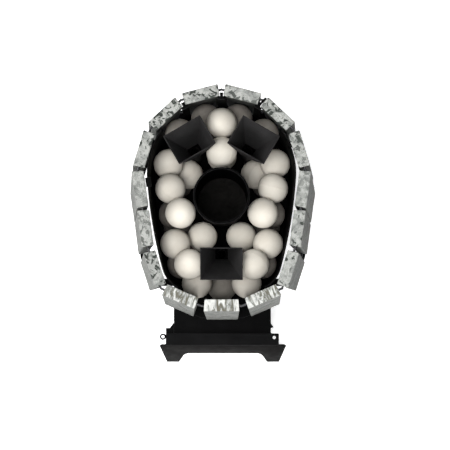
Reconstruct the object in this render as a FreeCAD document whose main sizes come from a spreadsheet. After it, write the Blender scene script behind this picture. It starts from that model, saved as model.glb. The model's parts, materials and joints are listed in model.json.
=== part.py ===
import FreeCAD, Part
import math
import os
import re

import Sketcher
from FreeCAD import Placement, Rotation, Vector

# Wood-fired sauna stove: stone staves round a sheet-steel casing, a basket of ceramic balls over the
# firebox, a flue socket, three water hoppers and a fuel tunnel with a door and an ash drawer at the front.
# Millimetres, +Z up, +Y towards the back. The origin is on the floor, in the middle of the whole stove.

SIZES = {
    # stone staves
    "rim_height": 850,
    "stave_length": 675,
    "front_stave_length": 418,
    "stave_width": 80,
    "stave_back_width": 76,
    "front_stave_width": 77,
    "front_stave_back_width": 73,
    "stave_thick": 26,
    "stave_lean": 4.6,
    "hoop_rod": 5,
    "hoop_hole": 7,
    "hoop_drop": 17,
    "lower_hoop_drop": 630,
    "coupler_size": 13,
    "coupler_length": 4.6,
    "ledge_thick": 4,
    "ledge_inside": 3,
    "ledge_setback": 4,
    # casing round the firebox and the stone basket
    "casing_radius": 161.5,
    "casing_centre": 109.5,
    "casing_front": 145,
    "casing_corner": 65,
    "casing_side": 1000,
    "casing_flat": 130,
    "casing_sheet": 2,
    "casing_top": 845,
    "casing_front_top": 600,
    "casing_back_top": 680,
    "front_window_half": 95,
    "back_window_half": 128.5,
    "back_strip_half": 11,
    "side_strip_inner": 71,
    "side_strip_outer": 85,
    "base_top": 110,
    "base_thick": 6,
    "weld_gap": 0.3,
    "clip_length": 20,
    "clip_width": 12,
    "clip_thick": 3,
    "clip_along": 12,
    # firebox
    "firebox_inset": 14,
    "firebox_sheet": 4,
    "firebox_top": 550,
    "top_plate_thick": 6,
    "basket_floor_thick": 4,
    "air_hole": 9,
    "flue_y": 62,
    "flue_bore": 115,
    "flue_wall": 4,
    "flue_top": 835,
    "baffle_z": 455,
    "baffle_thick": 6,
    "hearth_z": 205,
    "hearth_thick": 4,
    "grate_thick": 12,
    "grate_width": 170,
    "grate_length": 240,
    "grate_y": 55,
    # fuel tunnel and front frame
    "tunnel_half": 120,
    "tunnel_front": 256,
    "tunnel_back": 85,
    "tunnel_top": 425,
    "tunnel_sheet": 4,
    "frame_half": 139.5,
    "frame_right": 122,
    "frame_thick": 5,
    "frame_top": 429,
    "hood_front": 285,
    "hood_thick": 4,
    "fuel_half": 105,
    "fuel_bottom": 222,
    "fuel_top": 406,
    "ash_half": 104,
    "ash_top": 196,
    "eye_x": 146.5,
    "eye_y": 264,
    "eye_outer": 13.6,
    "fixing_hole": 8,
    "lug_hole_x": 128,
    "lug_hole_y": 266,
    # feet
    "foot_edge_y": 304,
    "foot_toe_y": 356.4,
    "foot_plate": 4,
    "foot_top_width": 343,
    "foot_outer": 313,
    "foot_inner": 246,
    "arch_height": 58,
    "rear_foot_y": 188,
    "rear_foot_width": 260,
    # water hoppers
    "hopper_width": 92,
    "hopper_depth": 70,
    "hopper_drop": 70,
    "hopper_rim": 848,
    "hopper_sheet": 2,
    "outlet_width": 27,
    "outlet_depth": 23,
    "outlet_offset": 21.5,
    "neck_drop": 15,
    "pipe_outer": 24,
    "pipe_wall": 2,
    "front_hopper_reach": 148,
    "back_hopper_reach": 138.2,
    "back_hopper_angle": 30,
    # stones
    "ball": 68,
    "ball_gap": 0.5,
    # fuel door
    "hinge_x": 122,
    "hinge_y": 274,
    "knuckle": 12,
    "pin": 6,
    "pin_play": 0.05,
    "knuckle_length": 18,
    "lower_hinge_z": 240,
    "upper_hinge_z": 372,
    "door_left": 112,
    "door_right": 116,
    "door_bottom": 214,
    "door_top": 416,
    "door_front": 271,
    "door_back": 263.4,
    "door_sheet": 3,
    "window_half": 78,
    "window_bottom": 250,
    "window_top": 384,
    "glass_thick": 4,
    "glass_lap": 9,
    "seal": 2,
    "latch_x": 95,
    "latch_z": 312,
    "spindle": 10,
    "lever_length": 74,
    "lever_thick": 5,
    "cam_length": 19,
    # ash drawer and air slide
    "tray_half": 100,
    "tray_bottom": 114.5,
    "tray_top": 188,
    "tray_back": 165,
    "tray_sheet": 2,
    "panel_half": 112,
    "panel_thick": 4,
    "panel_top": 203,
    "slot_width": 12,
    "slot_height": 26,
    "slot_pitch": 26,
    "slot_z": 142,
    "slide_thick": 2,
}

# Corners of the ring of stave faces at the rim, from the back round the right side to the front.
# A stave stands in the middle of each side of this ring, which is the same on the left.
RING_RIGHT = [(0, 304.5), (94.3, 280), (165, 213.2), (194.3, 116),
              (182, 31), (170.6, -53.5), (140.4, -148), (46.2, -188.3)]
FRONT_SIDES = (6, 7, 8)
COUPLER_CORNER = 1
CLIP_CORNERS = (-1, 0, 1)
# Half outline of a clip in a gap between staves: way out from the inner corner, and half width.
GAP_CLIP = [(-2.9, 8.5), (-1.4, 3.1), (6.2, 4.2)]
CLIP_SIDE = 11

# Balls that show at the top of the heap, right half and centre line: place and highest centre, lowest first.
# The heap is filled up below them, then each of them is let down until it touches.
TOP_BALLS = [(40, -105, 594), (73, -44.5, 634), (0, -138, 650), (77, 120.5, 657), (91, -86, 686),
             (44, -24, 695), (121, 140.8, 706), (112, 29, 718), (56, -129, 725), (0, 161.5, 728),
             (36, 243, 709), (94.2, 208.2, 709), (103.8, -41, 738), (115, 83, 746), (91, 26.5, 777),
             (71, -86.8, 781), (0, 227, 766), (0, 161, 785)]
FILL_LAYERS = 4
FILL_LIMIT = 735
# Rounding of a foot's arch: distance in from the foot's inner edge and below the arch, from the bottom up.
ARCH_CORNER = [(13, 20), (15.5, 12.5), (20.5, 5), (28, 0)]

doc = FreeCAD.newDocument("sauna_stove")
sheet = doc.addObject("Spreadsheet::Sheet", "sizes")
for row, (alias, value) in enumerate(SIZES.items(), 1):
    sheet.set(f"A{row}", alias)
    sheet.set(f"B{row}", str(value))
    sheet.setAlias(f"B{row}", alias)
doc.recompute()

nodes = []


def size(alias):
    """Value of one driving dimension, read from the sheet."""
    return float(getattr(sheet, alias))


def formula(text):
    """Text of a formula with every driving dimension pointed at its cell."""
    return re.sub(r"[a-z_]+", lambda word: "sizes." + word[0] if word[0] in SIZES else word[0], str(text))


def bind(item, **sizes):
    """Bind properties of an object to formulas of the driving dimensions."""
    for name, text in sizes.items():
        item.setExpression(name.replace("__", "."), formula(text))
    return item


def node(item, label):
    """Make an object one of the stove's pieces, under its own name."""
    item.Label = label
    nodes.append(item)
    return item


def box(x_low, x_high, y_low, y_high, z_low, z_high):
    """Block between two corners given as formulas."""
    item = doc.addObject("Part::Box", "block")
    bind(item, Length=f"({x_high}) - ({x_low})", Width=f"({y_high}) - ({y_low})",
         Height=f"({z_high}) - ({z_low})")
    return bind(item, Placement__Base__x=x_low, Placement__Base__y=y_low, Placement__Base__z=z_low)


def rod(diameter, length, x, y, z, along=(0, 0, 1)):
    """Round bar that starts at a point given as formulas and runs along a direction."""
    item = doc.addObject("Part::Cylinder", "bar")
    bind(item, Radius=f"({diameter}) / 2", Height=length)
    item.Placement = Placement(Vector(), Rotation(Vector(0, 0, 1), Vector(*along)))
    return bind(item, Placement__Base__x=x, Placement__Base__y=y, Placement__Base__z=z)


def group(pieces):
    """Several separate solids as one object."""
    if len(pieces) == 1:
        return pieces[0]
    item = doc.addObject("Part::Compound", "group")
    item.Links = pieces
    return item


def cut(base, *tools):
    item = doc.addObject("Part::Cut", "cut")
    item.Base = base
    item.Tool = group(list(tools))
    return item


def fuse(*pieces):
    item = doc.addObject("Part::MultiFuse", "joined")
    item.Shapes = list(pieces)
    item.Refine = True
    return item


def common(first, second):
    item = doc.addObject("Part::Common", "common")
    item.Base = first
    item.Tool = second
    return item


def plate(points, thickness, place=None):
    """Flat plate of the outline through the points, thickened upwards from its own plane."""
    outline = doc.addObject("Part::Polygon", "outline")
    outline.Nodes = [Vector(x, y, 0) for x, y in points]
    outline.Close = True
    item = doc.addObject("Part::Extrusion", "plate")
    item.Base = outline
    item.DirMode = "Custom"
    item.Dir = Vector(0, 0, 1)
    item.Solid = True
    bind(item, LengthFwd=thickness)
    if place is not None:
        item.Placement = place
    return item


def side_centre():
    """Centre of the long arc down the right side, which joins the back arc to the front corner's arc."""
    back = Vector(0, size("casing_centre"), 0)
    run = Vector(size("casing_flat") / 2, size("casing_corner") - size("casing_front"), 0) - back
    to_back = size("casing_side") - size("casing_radius")
    to_corner = size("casing_side") - size("casing_corner")
    along = (to_back ** 2 - to_corner ** 2 + run.Length ** 2) / (2 * run.Length)
    run.normalize()
    return back + run * along + Vector(run.y, -run.x, 0) * math.sqrt(to_back ** 2 - along ** 2)


def casing_outline():
    """Plan of the casing: round at the back, bowed and tapering sides, round front corners."""
    radius, corner, bow = size("casing_radius"), size("casing_corner"), size("casing_side")
    centre_y, front_y = size("casing_centre"), -size("casing_front")
    corner_x, corner_y = size("casing_flat") / 2, front_y + corner
    side = side_centre()
    side_start = math.atan2(corner_y - side.y, corner_x - side.x)
    side_end = math.atan2(centre_y - side.y, -side.x)

    def arc(x, y, arc_radius, first, last):
        return Part.ArcOfCircle(Part.Circle(Vector(x, y, 0), Vector(0, 0, 1), arc_radius), first, last)

    sketch = doc.addObject("Sketcher::SketchObject", "casing_outline")
    sketch.addGeometry([
        arc(0, centre_y, radius, side_end, math.pi - side_end),
        arc(side.x, side.y, bow, side_start, side_end),
        arc(corner_x, corner_y, corner, -math.pi / 2, side_start),
        Part.LineSegment(Vector(corner_x, front_y, 0), Vector(-corner_x, front_y, 0)),
        arc(-corner_x, corner_y, corner, math.pi - side_start, 1.5 * math.pi),
        arc(-side.x, side.y, bow, math.pi - side_end, math.pi - side_start),
    ], False)
    back, right, right_corner, front, left_corner, left = range(6)
    start, end, centre, y_axis, origin = 1, 2, 3, -2, -1
    for pair in ((back, start, right, end), (right, start, right_corner, end),
                 (right_corner, start, front, start), (front, end, left_corner, end),
                 (left_corner, start, left, end), (left, start, back, end)):
        sketch.addConstraint(Sketcher.Constraint("Tangent", *pair))
    sketch.addConstraint(Sketcher.Constraint("PointOnObject", back, centre, y_axis))
    sketch.addConstraint(Sketcher.Constraint("Equal", right_corner, left_corner))
    sketch.addConstraint(Sketcher.Constraint("Equal", right, left))
    sketch.addConstraint(Sketcher.Constraint("Symmetric", front, start, front, end, y_axis))
    for name, kind in (("casing_radius", ("Radius", back)),
                       ("casing_side", ("Radius", right)),
                       ("casing_corner", ("Radius", right_corner)),
                       ("casing_centre", ("DistanceY", origin, 1, back, centre)),
                       ("casing_front", ("DistanceY", front, start, origin, 1)),
                       ("casing_flat", ("DistanceX", front, end, front, start))):
        index = sketch.addConstraint(Sketcher.Constraint(*kind, size(name)))
        sketch.renameConstraint(index, name)
        sketch.setExpression(f"Constraints.{name}", f"sizes.{name}")
    doc.recompute()
    return sketch


outline = casing_outline()


def prism(inset, z_low, z_high):
    """Block with the casing's plan, drawn in by an inset, between two heights."""
    base = outline
    if inset != 0:
        base = doc.addObject("Part::Offset2D", "inset")
        base.Source = outline
        base.Join = "Intersection"
        bind(base, Value=f"-({inset})")
    item = doc.addObject("Part::Extrusion", "prism")
    item.Base = base
    item.DirMode = "Custom"
    item.Dir = Vector(0, 0, 1)
    item.Solid = True
    return bind(item, LengthFwd=f"({z_high}) - ({z_low})", Placement__Base__z=z_low)


def shell(inset, sheet_thick, z_low, z_high):
    """Upright wall with the casing's plan."""
    inside = prism(f"{inset} + {sheet_thick}", f"{z_low} - 1", f"{z_high} + 1")
    return cut(prism(inset, z_low, z_high), inside)


def ring_corners():
    """All corners of the ring of staves, clockwise from the back seen from above."""
    left = [(-x, y) for x, y in reversed(RING_RIGHT[1:])]
    return [Vector(x, y, 0) for x, y in RING_RIGHT + left]


RING = ring_corners()
SIDES = [(RING[i], RING[(i + 1) % len(RING)]) for i in range(len(RING))]


def outward(side):
    """Level direction that a side of the ring faces."""
    run = side[1] - side[0]
    return Vector(-run.y, run.x, 0).normalize()


def ring_at(offset):
    """Corners of the ring of staves moved outwards by an offset."""
    moved = []
    for i, corner in enumerate(RING):
        before, after = outward(SIDES[i - 1]), outward(SIDES[i])
        moved.append(corner + (before + after) * (offset / (1 + before.dot(after))))
    return moved


def stave_point(depth, along):
    """Outward shift and height of a point of every stave, by its depth into the stone and way down it."""
    lean = math.radians(size("stave_lean"))
    shift = along * math.sin(lean) - depth * math.cos(lean)
    height = size("rim_height") - along * math.cos(lean) - depth * math.sin(lean)
    return shift, height


def stave_place(index):
    """Frame of one stave: origin in the middle of its outer top edge, y outwards, z up along the stone."""
    side = SIDES[index]
    face = outward(side)
    yaw = math.degrees(math.atan2(face.y, face.x)) - 90
    middle = (side[0] + side[1]) * 0.5
    middle.z = size("rim_height")
    return Placement(middle, Rotation(yaw, 0, size("stave_lean")))


def make_staves():
    """Fifteen stone staves, each drilled across for the hoops."""
    for index in range(len(SIDES)):
        front = index in FRONT_SIDES
        kind = "front_stave" if front else "stave"
        length, back, face = kind + "_length", kind + "_back_width", kind + "_width"
        stone = doc.addObject("Part::Wedge", "stone")
        bind(stone, Xmin=f"-{back} / 2", Xmax=f"{back} / 2", X2min=f"-{face} / 2", X2max=f"{face} / 2",
             Ymin="-stave_thick", Ymax=0, Zmin=f"-{length}", Z2min=f"-{length}", Zmax=0, Z2max=0)
        drops = ["hoop_drop"] if front else ["hoop_drop", "lower_hoop_drop"]
        holes = [rod("hoop_hole", "stave_width + 2", "-stave_width / 2 - 1", "-stave_thick / 2", f"-{drop}",
                     (1, 0, 0)) for drop in drops]
        stave = cut(stone, *holes)
        stave.Placement = stave_place(index)
        node(stave, f"stave_{index + 1:02d}")


def swept_rod(points, closed, label):
    """Round rod bent along a level run of points."""
    spine = doc.addObject("Part::Polygon", label + "_line")
    spine.Nodes = points
    spine.Close = closed
    doc.recompute()
    middle = (points[0] + points[1]) * 0.5 if closed else points[0]
    section = doc.addObject("Part::Circle", label + "_section")
    bind(section, Radius="hoop_rod / 2")
    section.Placement = Placement(middle, Rotation(Vector(0, 0, 1), points[1] - points[0]))
    item = doc.addObject("Part::Sweep", "swept")
    item.Sections = [section]
    item.Spine = (spine, [f"Edge{i + 1}" for i in range(len(spine.Shape.Edges))])
    item.Transition = "Right corner"
    item.Solid = True
    return node(item, label)


def level(points, height):
    return [Vector(p.x, p.y, height) for p in points]


def run_of(first, count, offset, reach):
    """Points along some neighbouring sides of the ring, moved outwards, with ends a reach from mid-side."""
    corners = ring_at(offset)
    last = (first + count - 1) % len(SIDES)
    ends = []
    for index, sign in ((first, -1), (last, 1)):
        side = SIDES[index]
        along = (side[1] - side[0]).normalize()
        ends.append((side[0] + side[1]) * 0.5 + outward(side) * offset + along * (sign * reach))
    between = [corners[(first + i) % len(RING)] for i in range(1, count)]
    return ends[:1] + between + ends[1:]


def long_run(offset, reach):
    """Points along the sides with long staves, from the left front round the back to the right front."""
    return run_of(FRONT_SIDES[-1] + 1, len(SIDES) - len(FRONT_SIDES), offset, reach)


def make_hoops():
    """Rods threaded through the staves: a closed hoop at the top and an open one round the long staves."""
    half = size("stave_thick") / 2
    shift, height = stave_point(half, size("hoop_drop"))
    corners = level(ring_at(shift), height)
    swept_rod(corners, True, "upper_hoop")
    shift, low = stave_point(half, size("lower_hoop_drop"))
    reach = size("stave_width") / 2 - 5
    swept_rod(level(long_run(shift, reach), low), False, "lower_hoop")
    corner, after = corners[COUPLER_CORNER], corners[COUPLER_CORNER + 1]
    frame = Placement(corner, Rotation(Vector(0, 0, 1), after - corner))
    block = box("-coupler_size / 2", "coupler_size / 2", "-coupler_size / 2", "coupler_size / 2", 0.6,
                "0.6 + coupler_length")
    coupler = cut(block, rod("hoop_rod + 2 * weld_gap", "coupler_length + 4", 0, 0, -1))
    coupler.Placement = frame
    node(coupler, "hoop_coupler")


def band(inner, outer, z, thickness):
    """Level flat bar between two open runs of points."""
    points = [(p.x, p.y) for p in inner + outer[::-1]]
    return plate(points, thickness, Placement(Vector(0, 0, z), Rotation()))


def make_ledges():
    """Ledge under the long staves with its brackets, and the front ledge on the tunnel."""
    reach = size("stave_width") / 2
    inside, setback = size("stave_thick") + size("ledge_inside"), size("ledge_setback")
    inner = stave_point(inside, size("stave_length"))[0]
    outer = stave_point(setback, size("stave_length"))[0]
    low = stave_point(size("stave_thick"), size("stave_length"))[1] - size("weld_gap") - size("ledge_thick")
    node(band(long_run(inner, reach), long_run(outer, reach), low, "ledge_thick"), "stave_ledge")
    under = low - size("ledge_thick")
    corners = ring_at(inner)
    brackets = []
    for corner in (corners[0], corners[1], corners[-1]):
        out = Vector(corner.x, corner.y - size("casing_centre"), 0)
        arm = doc.addObject("Part::Box", "arm")
        bind(arm, Height="ledge_thick", Width=20)
        arm.Length = out.Length - size("casing_radius") + 8
        start = Placement(Vector(0, size("casing_centre"), under), Rotation(Vector(1, 0, 0), out))
        arm.Placement = start.multiply(Placement(Vector(size("casing_radius"), -10, 0), Rotation()))
        brackets.append(arm)
    end = long_run(inner, reach)[-1]
    for low_x, high_x in (("tunnel_half", end.x + 8), (-end.x - 8, "-tunnel_half")):
        brackets.append(box(low_x, high_x, end.y + 4, end.y + 24, under, low))
    node(group(brackets), "ledge_brackets")
    inner, outer = (stave_point(depth, size("front_stave_length"))[0] for depth in (inside, setback))
    rows = [run_of(FRONT_SIDES[0], len(FRONT_SIDES), offset, reach) for offset in (inner, outer)]
    node(band(*rows, size("tunnel_top"), "ledge_thick"), "front_ledge")


def outline_points(inset, count):
    """Points evenly spaced round the back arc and down both sides of the casing's plan."""
    radius = size("casing_radius") - inset
    spread = math.pi / (count - 1)
    arc = [(radius * math.cos(i * spread), size("casing_centre") + radius * math.sin(i * spread))
           for i in range(count)]
    side, bow = side_centre(), size("casing_side") - inset
    sides = []
    for i in range(1, 5):
        y = size("casing_centre") - i * radius * spread
        x = side.x + math.sqrt(bow ** 2 - (y - side.y) ** 2)
        sides += [(x, y), (-x, y)]
    return arc + sides


def air_holes(inset, count, z):
    return [rod("air_hole", 20, x, y, z) for x, y in outline_points(inset, count)]


def make_casing():
    """Base plate, casing wall and the plate that carries the stones."""
    between = size("casing_sheet") + (size("firebox_inset") - size("casing_sheet")) / 2
    base = cut(prism(0, "base_top - base_thick", "base_top"), *air_holes(between, 15, size("base_top") - 15))
    node(base, "base_plate")
    wall = shell(0, "casing_sheet", "base_top", "casing_top")
    tunnel_hole = box("-tunnel_half - weld_gap", "tunnel_half + weld_gap", "-tunnel_front", "-tunnel_back",
                      "base_top - 1", "tunnel_top + weld_gap")
    front_window = box("-front_window_half", "front_window_half", "-casing_front - 20", "-casing_front + 40",
                       "casing_front_top", "rim_height")
    back_windows = []
    for near, far in (("back_strip_half", "side_strip_inner"), ("side_strip_outer", "back_window_half")):
        for low, high in ((near, far), (f"-{far}", f"-{near}")):
            back_windows.append(box(low, high, "casing_centre + 20", "casing_centre + casing_radius + 20",
                                    "casing_back_top", "rim_height"))
    node(cut(wall, tunnel_hole, front_window, *back_windows), "casing_wall")
    floor_low = "firebox_top + top_plate_thick"
    floor = prism("casing_sheet + weld_gap", floor_low, f"{floor_low} + basket_floor_thick")
    flue_hole = rod("flue_bore + 2 * flue_wall + 2 * weld_gap", 40, 0, "flue_y", f"{floor_low} - 20")
    holes = air_holes(between, 15, size("firebox_top"))
    node(cut(floor, flue_hole, *holes), "basket_floor")


def make_firebox():
    """Welded fire chamber with its top plate, baffle, hearth and grate."""
    body = shell("firebox_inset", "firebox_sheet", "base_top", "firebox_top")
    mouth = box("-tunnel_half - weld_gap", "tunnel_half + weld_gap", "-casing_front - 20",
                "-tunnel_back + weld_gap", "base_top - 1", "tunnel_top + weld_gap")
    node(cut(body, mouth), "firebox_shell")
    flue_outer = "flue_bore + 2 * flue_wall"
    top = prism("firebox_inset", "firebox_top", "firebox_top + top_plate_thick")
    flue_hole = rod(f"{flue_outer} + 2 * weld_gap", 40, 0, "flue_y", "firebox_top - 10")
    node(cut(top, flue_hole), "firebox_top_plate")
    pipe = rod(flue_outer, "flue_top - firebox_top", 0, "flue_y", "firebox_top")
    bore = rod("flue_bore", "flue_top - firebox_top + 2", 0, "flue_y", "firebox_top - 1")
    node(cut(pipe, bore), "flue_socket")
    inside = "firebox_inset + firebox_sheet + weld_gap"
    node(box(-100, 100, -30, 150, "baffle_z", "baffle_z + baffle_thick"), "flame_baffle")
    ledges = [common(box(low, high, -20, 140, "baffle_z - 8", "baffle_z"),
                     prism(inside, "baffle_z - 9", "baffle_z + 1")) for low, high in ((88, 160), (-160, -88))]
    node(group(ledges), "baffle_ledges")
    hearth_top = "hearth_z + hearth_thick"
    opening = box("-grate_width / 2 + 8", "grate_width / 2 - 8", "grate_y - grate_length / 2 + 8",
                  "grate_y + grate_length / 2 - 8", "hearth_z - 1", f"{hearth_top} + 1")
    node(cut(prism(inside, "hearth_z", hearth_top), opening), "hearth_plate")
    block = box("-grate_width / 2", "grate_width / 2", "grate_y - grate_length / 2",
                "grate_y + grate_length / 2", hearth_top, f"{hearth_top} + grate_thick")
    slots = []
    for column in range(7):
        x = (column - 3) * 20
        for y_low, y_high in (("grate_y - grate_length / 2 + 18", "grate_y - 8"),
                              ("grate_y + 8", "grate_y + grate_length / 2 - 18")):
            slots.append(box(x - 5, x + 5, y_low, y_high, "hearth_z", f"{hearth_top} + grate_thick + 1"))
    node(cut(block, *slots), "fire_grate")


def make_tunnel():
    """Fuel tunnel, the sill inside it, the front frame, the overhanging strip and its fixing points."""
    outer = box("-tunnel_half", "tunnel_half", "-tunnel_front", "-tunnel_back", "base_top", "tunnel_top")
    inner = box("-tunnel_half + tunnel_sheet", "tunnel_half - tunnel_sheet", "-tunnel_front - 1",
                "-tunnel_back + 1", "base_top + tunnel_sheet", "tunnel_top - tunnel_sheet")
    node(cut(outer, inner), "fuel_tunnel")
    sill_half = "tunnel_half - tunnel_sheet - weld_gap"
    hearth_front = "casing_front - firebox_inset - firebox_sheet"
    node(box(f"-({sill_half})", sill_half, "-tunnel_front", f"-({hearth_front})", "hearth_z",
             "hearth_z + hearth_thick"), "sill_plate")
    frame_front = "-tunnel_front - frame_thick"
    plate_block = box("-frame_half", "frame_right", frame_front, "-tunnel_front", "base_top", "frame_top")
    through = (f"{frame_front} - 1", "-tunnel_front + 1")
    fuel = box("-fuel_half", "fuel_half", *through, "fuel_bottom", "fuel_top")
    ash = box("-ash_half", "ash_half", *through, "base_top - 1", "ash_top")
    node(cut(plate_block, fuel, ash), "front_frame")
    strip = box("-frame_half", "frame_half", "-hood_front", "-tunnel_front", "frame_top",
                "frame_top + hood_thick")
    hole = rod("fixing_hole", 20, "lug_hole_x", "-lug_hole_y", "frame_top - 5")
    node(cut(strip, hole), "front_strip")
    eye = rod("eye_outer", "hood_thick", "-eye_x", "-eye_y", "frame_top")
    neck = box("-eye_x", "-frame_half", "-eye_y - 3", "-eye_y + 3", "frame_top", "frame_top + hood_thick")
    eye_hole = rod("fixing_hole", 20, "-eye_x", "-eye_y", "frame_top - 5")
    node(cut(fuse(eye, neck), eye_hole), "fixing_eye")
    edge, front = size("tunnel_half"), -size("tunnel_front")
    wing = -size("frame_half")
    left_gusset = [(-edge, front), (-edge, front + 26), (-edge - 9, front + 15), (-edge - 9, front + 13),
                   (wing, front + 13), (wing, front)]
    right_gusset = [(edge, front + 13), (edge + 7, front + 15), (edge, front + 25)]
    place = Placement(Vector(0, 0, size("tunnel_top") - size("tunnel_sheet")), Rotation())
    node(group([plate(points, "tunnel_sheet", place) for points in (left_gusset, right_gusset)]),
         "frame_gussets")


def foot_profile(top_half, outer_half, inner_half, length, arch_lift):
    """Face of a foot plate: wide at the top, two feet and an arch between them."""
    right = [(top_half - 6, length), (top_half, length - 6), (outer_half, 0), (inner_half, 0)]
    right += [(inner_half - inward, arch_lift - below) for inward, below in ARCH_CORNER]
    return right + [(-x, y) for x, y in reversed(right)]


def foot(edge_y, edge_z, toe_y, widths, shelf, label):
    """Splayed foot plate bent down from a level shelf."""
    run = abs(toe_y - edge_y)
    length = math.hypot(run, edge_z)
    points = foot_profile(*[width / 2 for width in widths], length, size("arch_height") / edge_z * length)
    splay = math.degrees(math.atan2(run, edge_z))
    turn = Rotation(0, 0, 90 - splay) if toe_y < edge_y else Rotation(180, 0, 90 - splay)
    place = Placement(Vector(0, toe_y, 0), turn).multiply(
        Placement(Vector(0, 0, -size("foot_plate")), Rotation()))
    face = plate(points, "foot_plate", place)
    below = box(-400, 400, -500, 500, -50, 0)
    above = box(-400, 400, -500, 500, edge_z, edge_z + 50)
    node(cut(fuse(face, shelf), below, above), label)


def make_feet():
    """Front and rear feet, each a plate with an arch, bent from a shelf under the stove."""
    top_z = size("base_top")
    front_shelf = box("-tunnel_half", "tunnel_half", "-foot_edge_y", "-casing_front - 1",
                      "base_top - foot_plate", "base_top")
    foot(-size("foot_edge_y"), top_z, -size("foot_toe_y"),
         (size("foot_top_width"), size("foot_outer"), size("foot_inner")), front_shelf, "front_foot_plate")
    rear_z = top_z - size("base_thick")
    rear_width = size("rear_foot_width")
    rear_shelf = box("-rear_foot_width / 2 + 30", "rear_foot_width / 2 - 30", "rear_foot_y - 60",
                     "rear_foot_y", "base_top - base_thick - foot_plate", "base_top - base_thick")
    splay = (size("foot_toe_y") - size("foot_edge_y")) / top_z
    foot(size("rear_foot_y"), rear_z, size("rear_foot_y") + splay * rear_z,
         (rear_width, rear_width - 30, rear_width - 97), rear_shelf, "rear_foot_plate")


def make_hopper(name, reach, turn):
    """Water hopper with three sloping sides and a neck, on a round pipe that stands on the basket floor."""
    flue = Vector(0, size("flue_y"), 0)
    frame = Placement(flue, Rotation(turn, 0, 0)).multiply(Placement(Vector(0, -reach, 0), Rotation()))

    def funnel(inset, top, drop):
        block = doc.addObject("Part::Wedge", "funnel")
        half_w, half_d = f"(hopper_width / 2 - {inset})", f"(hopper_depth / 2 - {inset})"
        out_w = f"(outlet_width / 2 + hopper_sheet - {inset})"
        out_low = f"(outlet_offset - outlet_depth / 2 - hopper_sheet + {inset})"
        bind(block, Ymin=f"-({drop})", Ymax=top, Xmin=f"-{out_w}", Xmax=out_w, X2min=f"-{half_w}",
             X2max=half_w, Zmin=f"-{half_d}", Zmax=f"-{out_low}", Z2min=f"-{half_d}", Z2max=half_d)
        block.Placement = Placement(Vector(), Rotation(0, 0, 90))
        return block

    neck_back = "hopper_depth / 2"
    out_w = "outlet_width / 2 + hopper_sheet"
    neck_front = "outlet_offset - outlet_depth / 2 - hopper_sheet"
    neck_low = "-hopper_drop - neck_drop"
    neck = box(f"-({out_w})", out_w, neck_front, neck_back, neck_low, "-hopper_drop")
    neck_space = box("-outlet_width / 2", "outlet_width / 2", f"{neck_front} + hopper_sheet",
                     f"{neck_back} - hopper_sheet", f"{neck_low} + hopper_sheet", "-hopper_drop + 1")
    drain = rod("pipe_outer - 2 * pipe_wall", "hopper_drop", 0, "outlet_offset", "-hopper_drop * 1.5")
    body = cut(fuse(funnel(0, 0, "hopper_drop"), neck), funnel("hopper_sheet", 0.01, "hopper_drop + 0.01"),
               neck_space, drain)
    body.Placement = Placement(frame.Base + Vector(0, 0, size("hopper_rim")), frame.Rotation)
    node(body, "hopper_" + name)
    floor = "firebox_top + top_plate_thick + basket_floor_thick"
    length = f"hopper_rim - hopper_drop - neck_drop - ({floor})"
    tube = cut(rod("pipe_outer", length, 0, "outlet_offset", 0),
               rod("pipe_outer - 2 * pipe_wall", f"{length} + 2", 0, "outlet_offset", -1),
               box("-pipe_outer", "pipe_outer", "outlet_offset - 4", "outlet_offset + 4", -1, 12))
    floor_z = size("firebox_top") + size("top_plate_thick") + size("basket_floor_thick")
    tube.Placement = Placement(frame.Base + Vector(0, 0, floor_z), frame.Rotation)
    return tube


def make_hoppers():
    """Three water hoppers that face the flue, and the pipes under them."""
    turn = 180 - size("back_hopper_angle")
    pipes = [make_hopper("front", size("front_hopper_reach"), 0),
             make_hopper("back_right", size("back_hopper_reach"), turn),
             make_hopper("back_left", size("back_hopper_reach"), -turn)]
    node(group(pipes), "water_pipes")


def pipe_centres():
    """Places of the three water pipes."""
    flue_y = size("flue_y")
    inset = size("outlet_offset")
    centres = [Vector(0, flue_y - size("front_hopper_reach") + inset, 0)]
    reach = size("back_hopper_reach") - inset
    angle = math.radians(size("back_hopper_angle"))
    for sign in (1, -1):
        centres.append(Vector(sign * reach * math.sin(angle), flue_y + reach * math.cos(angle), 0))
    return centres


def inside_basket(point):
    """Whether a ball at this place is clear of the casing, the flue and the water pipes."""
    clear = size("ball") / 2 + size("ball_gap")
    flue = Vector(0, size("flue_y"), 0)
    if (point - flue).Length < size("flue_bore") / 2 + size("flue_wall") + clear:
        return False
    if any((point - centre).Length < size("pipe_outer") / 2 + clear for centre in pipe_centres()):
        return False
    lap = size("casing_sheet") + clear
    spot = Part.Vertex(point)
    return outline_face.isInside(point, 0.01, True) and outline_wire.distToShape(spot)[0] > lap


def edge_height(point):
    """Height at which a ball let down at this place touches the low edge of the casing, or 0 beside it."""
    clear = size("ball") / 2 + size("ball_gap")
    gap = outline_wire.distToShape(Part.Vertex(point.x, point.y, 0))[0] - size("casing_sheet")
    if gap >= clear:
        return 0
    edge = size("casing_back_top") if point.y > size("casing_centre") else size("casing_front_top")
    return edge + math.sqrt(clear ** 2 - max(gap, 0) ** 2)


def settle(point, placed):
    """Height at which a ball let down at this place touches the floor, the casing or the balls below."""
    step = size("ball") + size("ball_gap")
    floor = size("firebox_top") + size("top_plate_thick") + size("basket_floor_thick")
    height = max(floor + size("ball") / 2, edge_height(point))
    for other in placed:
        gap = math.hypot(point.x - other.x, point.y - other.y)
        if gap < step:
            height = max(height, other.z + math.sqrt(step ** 2 - gap ** 2))
    return height


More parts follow.
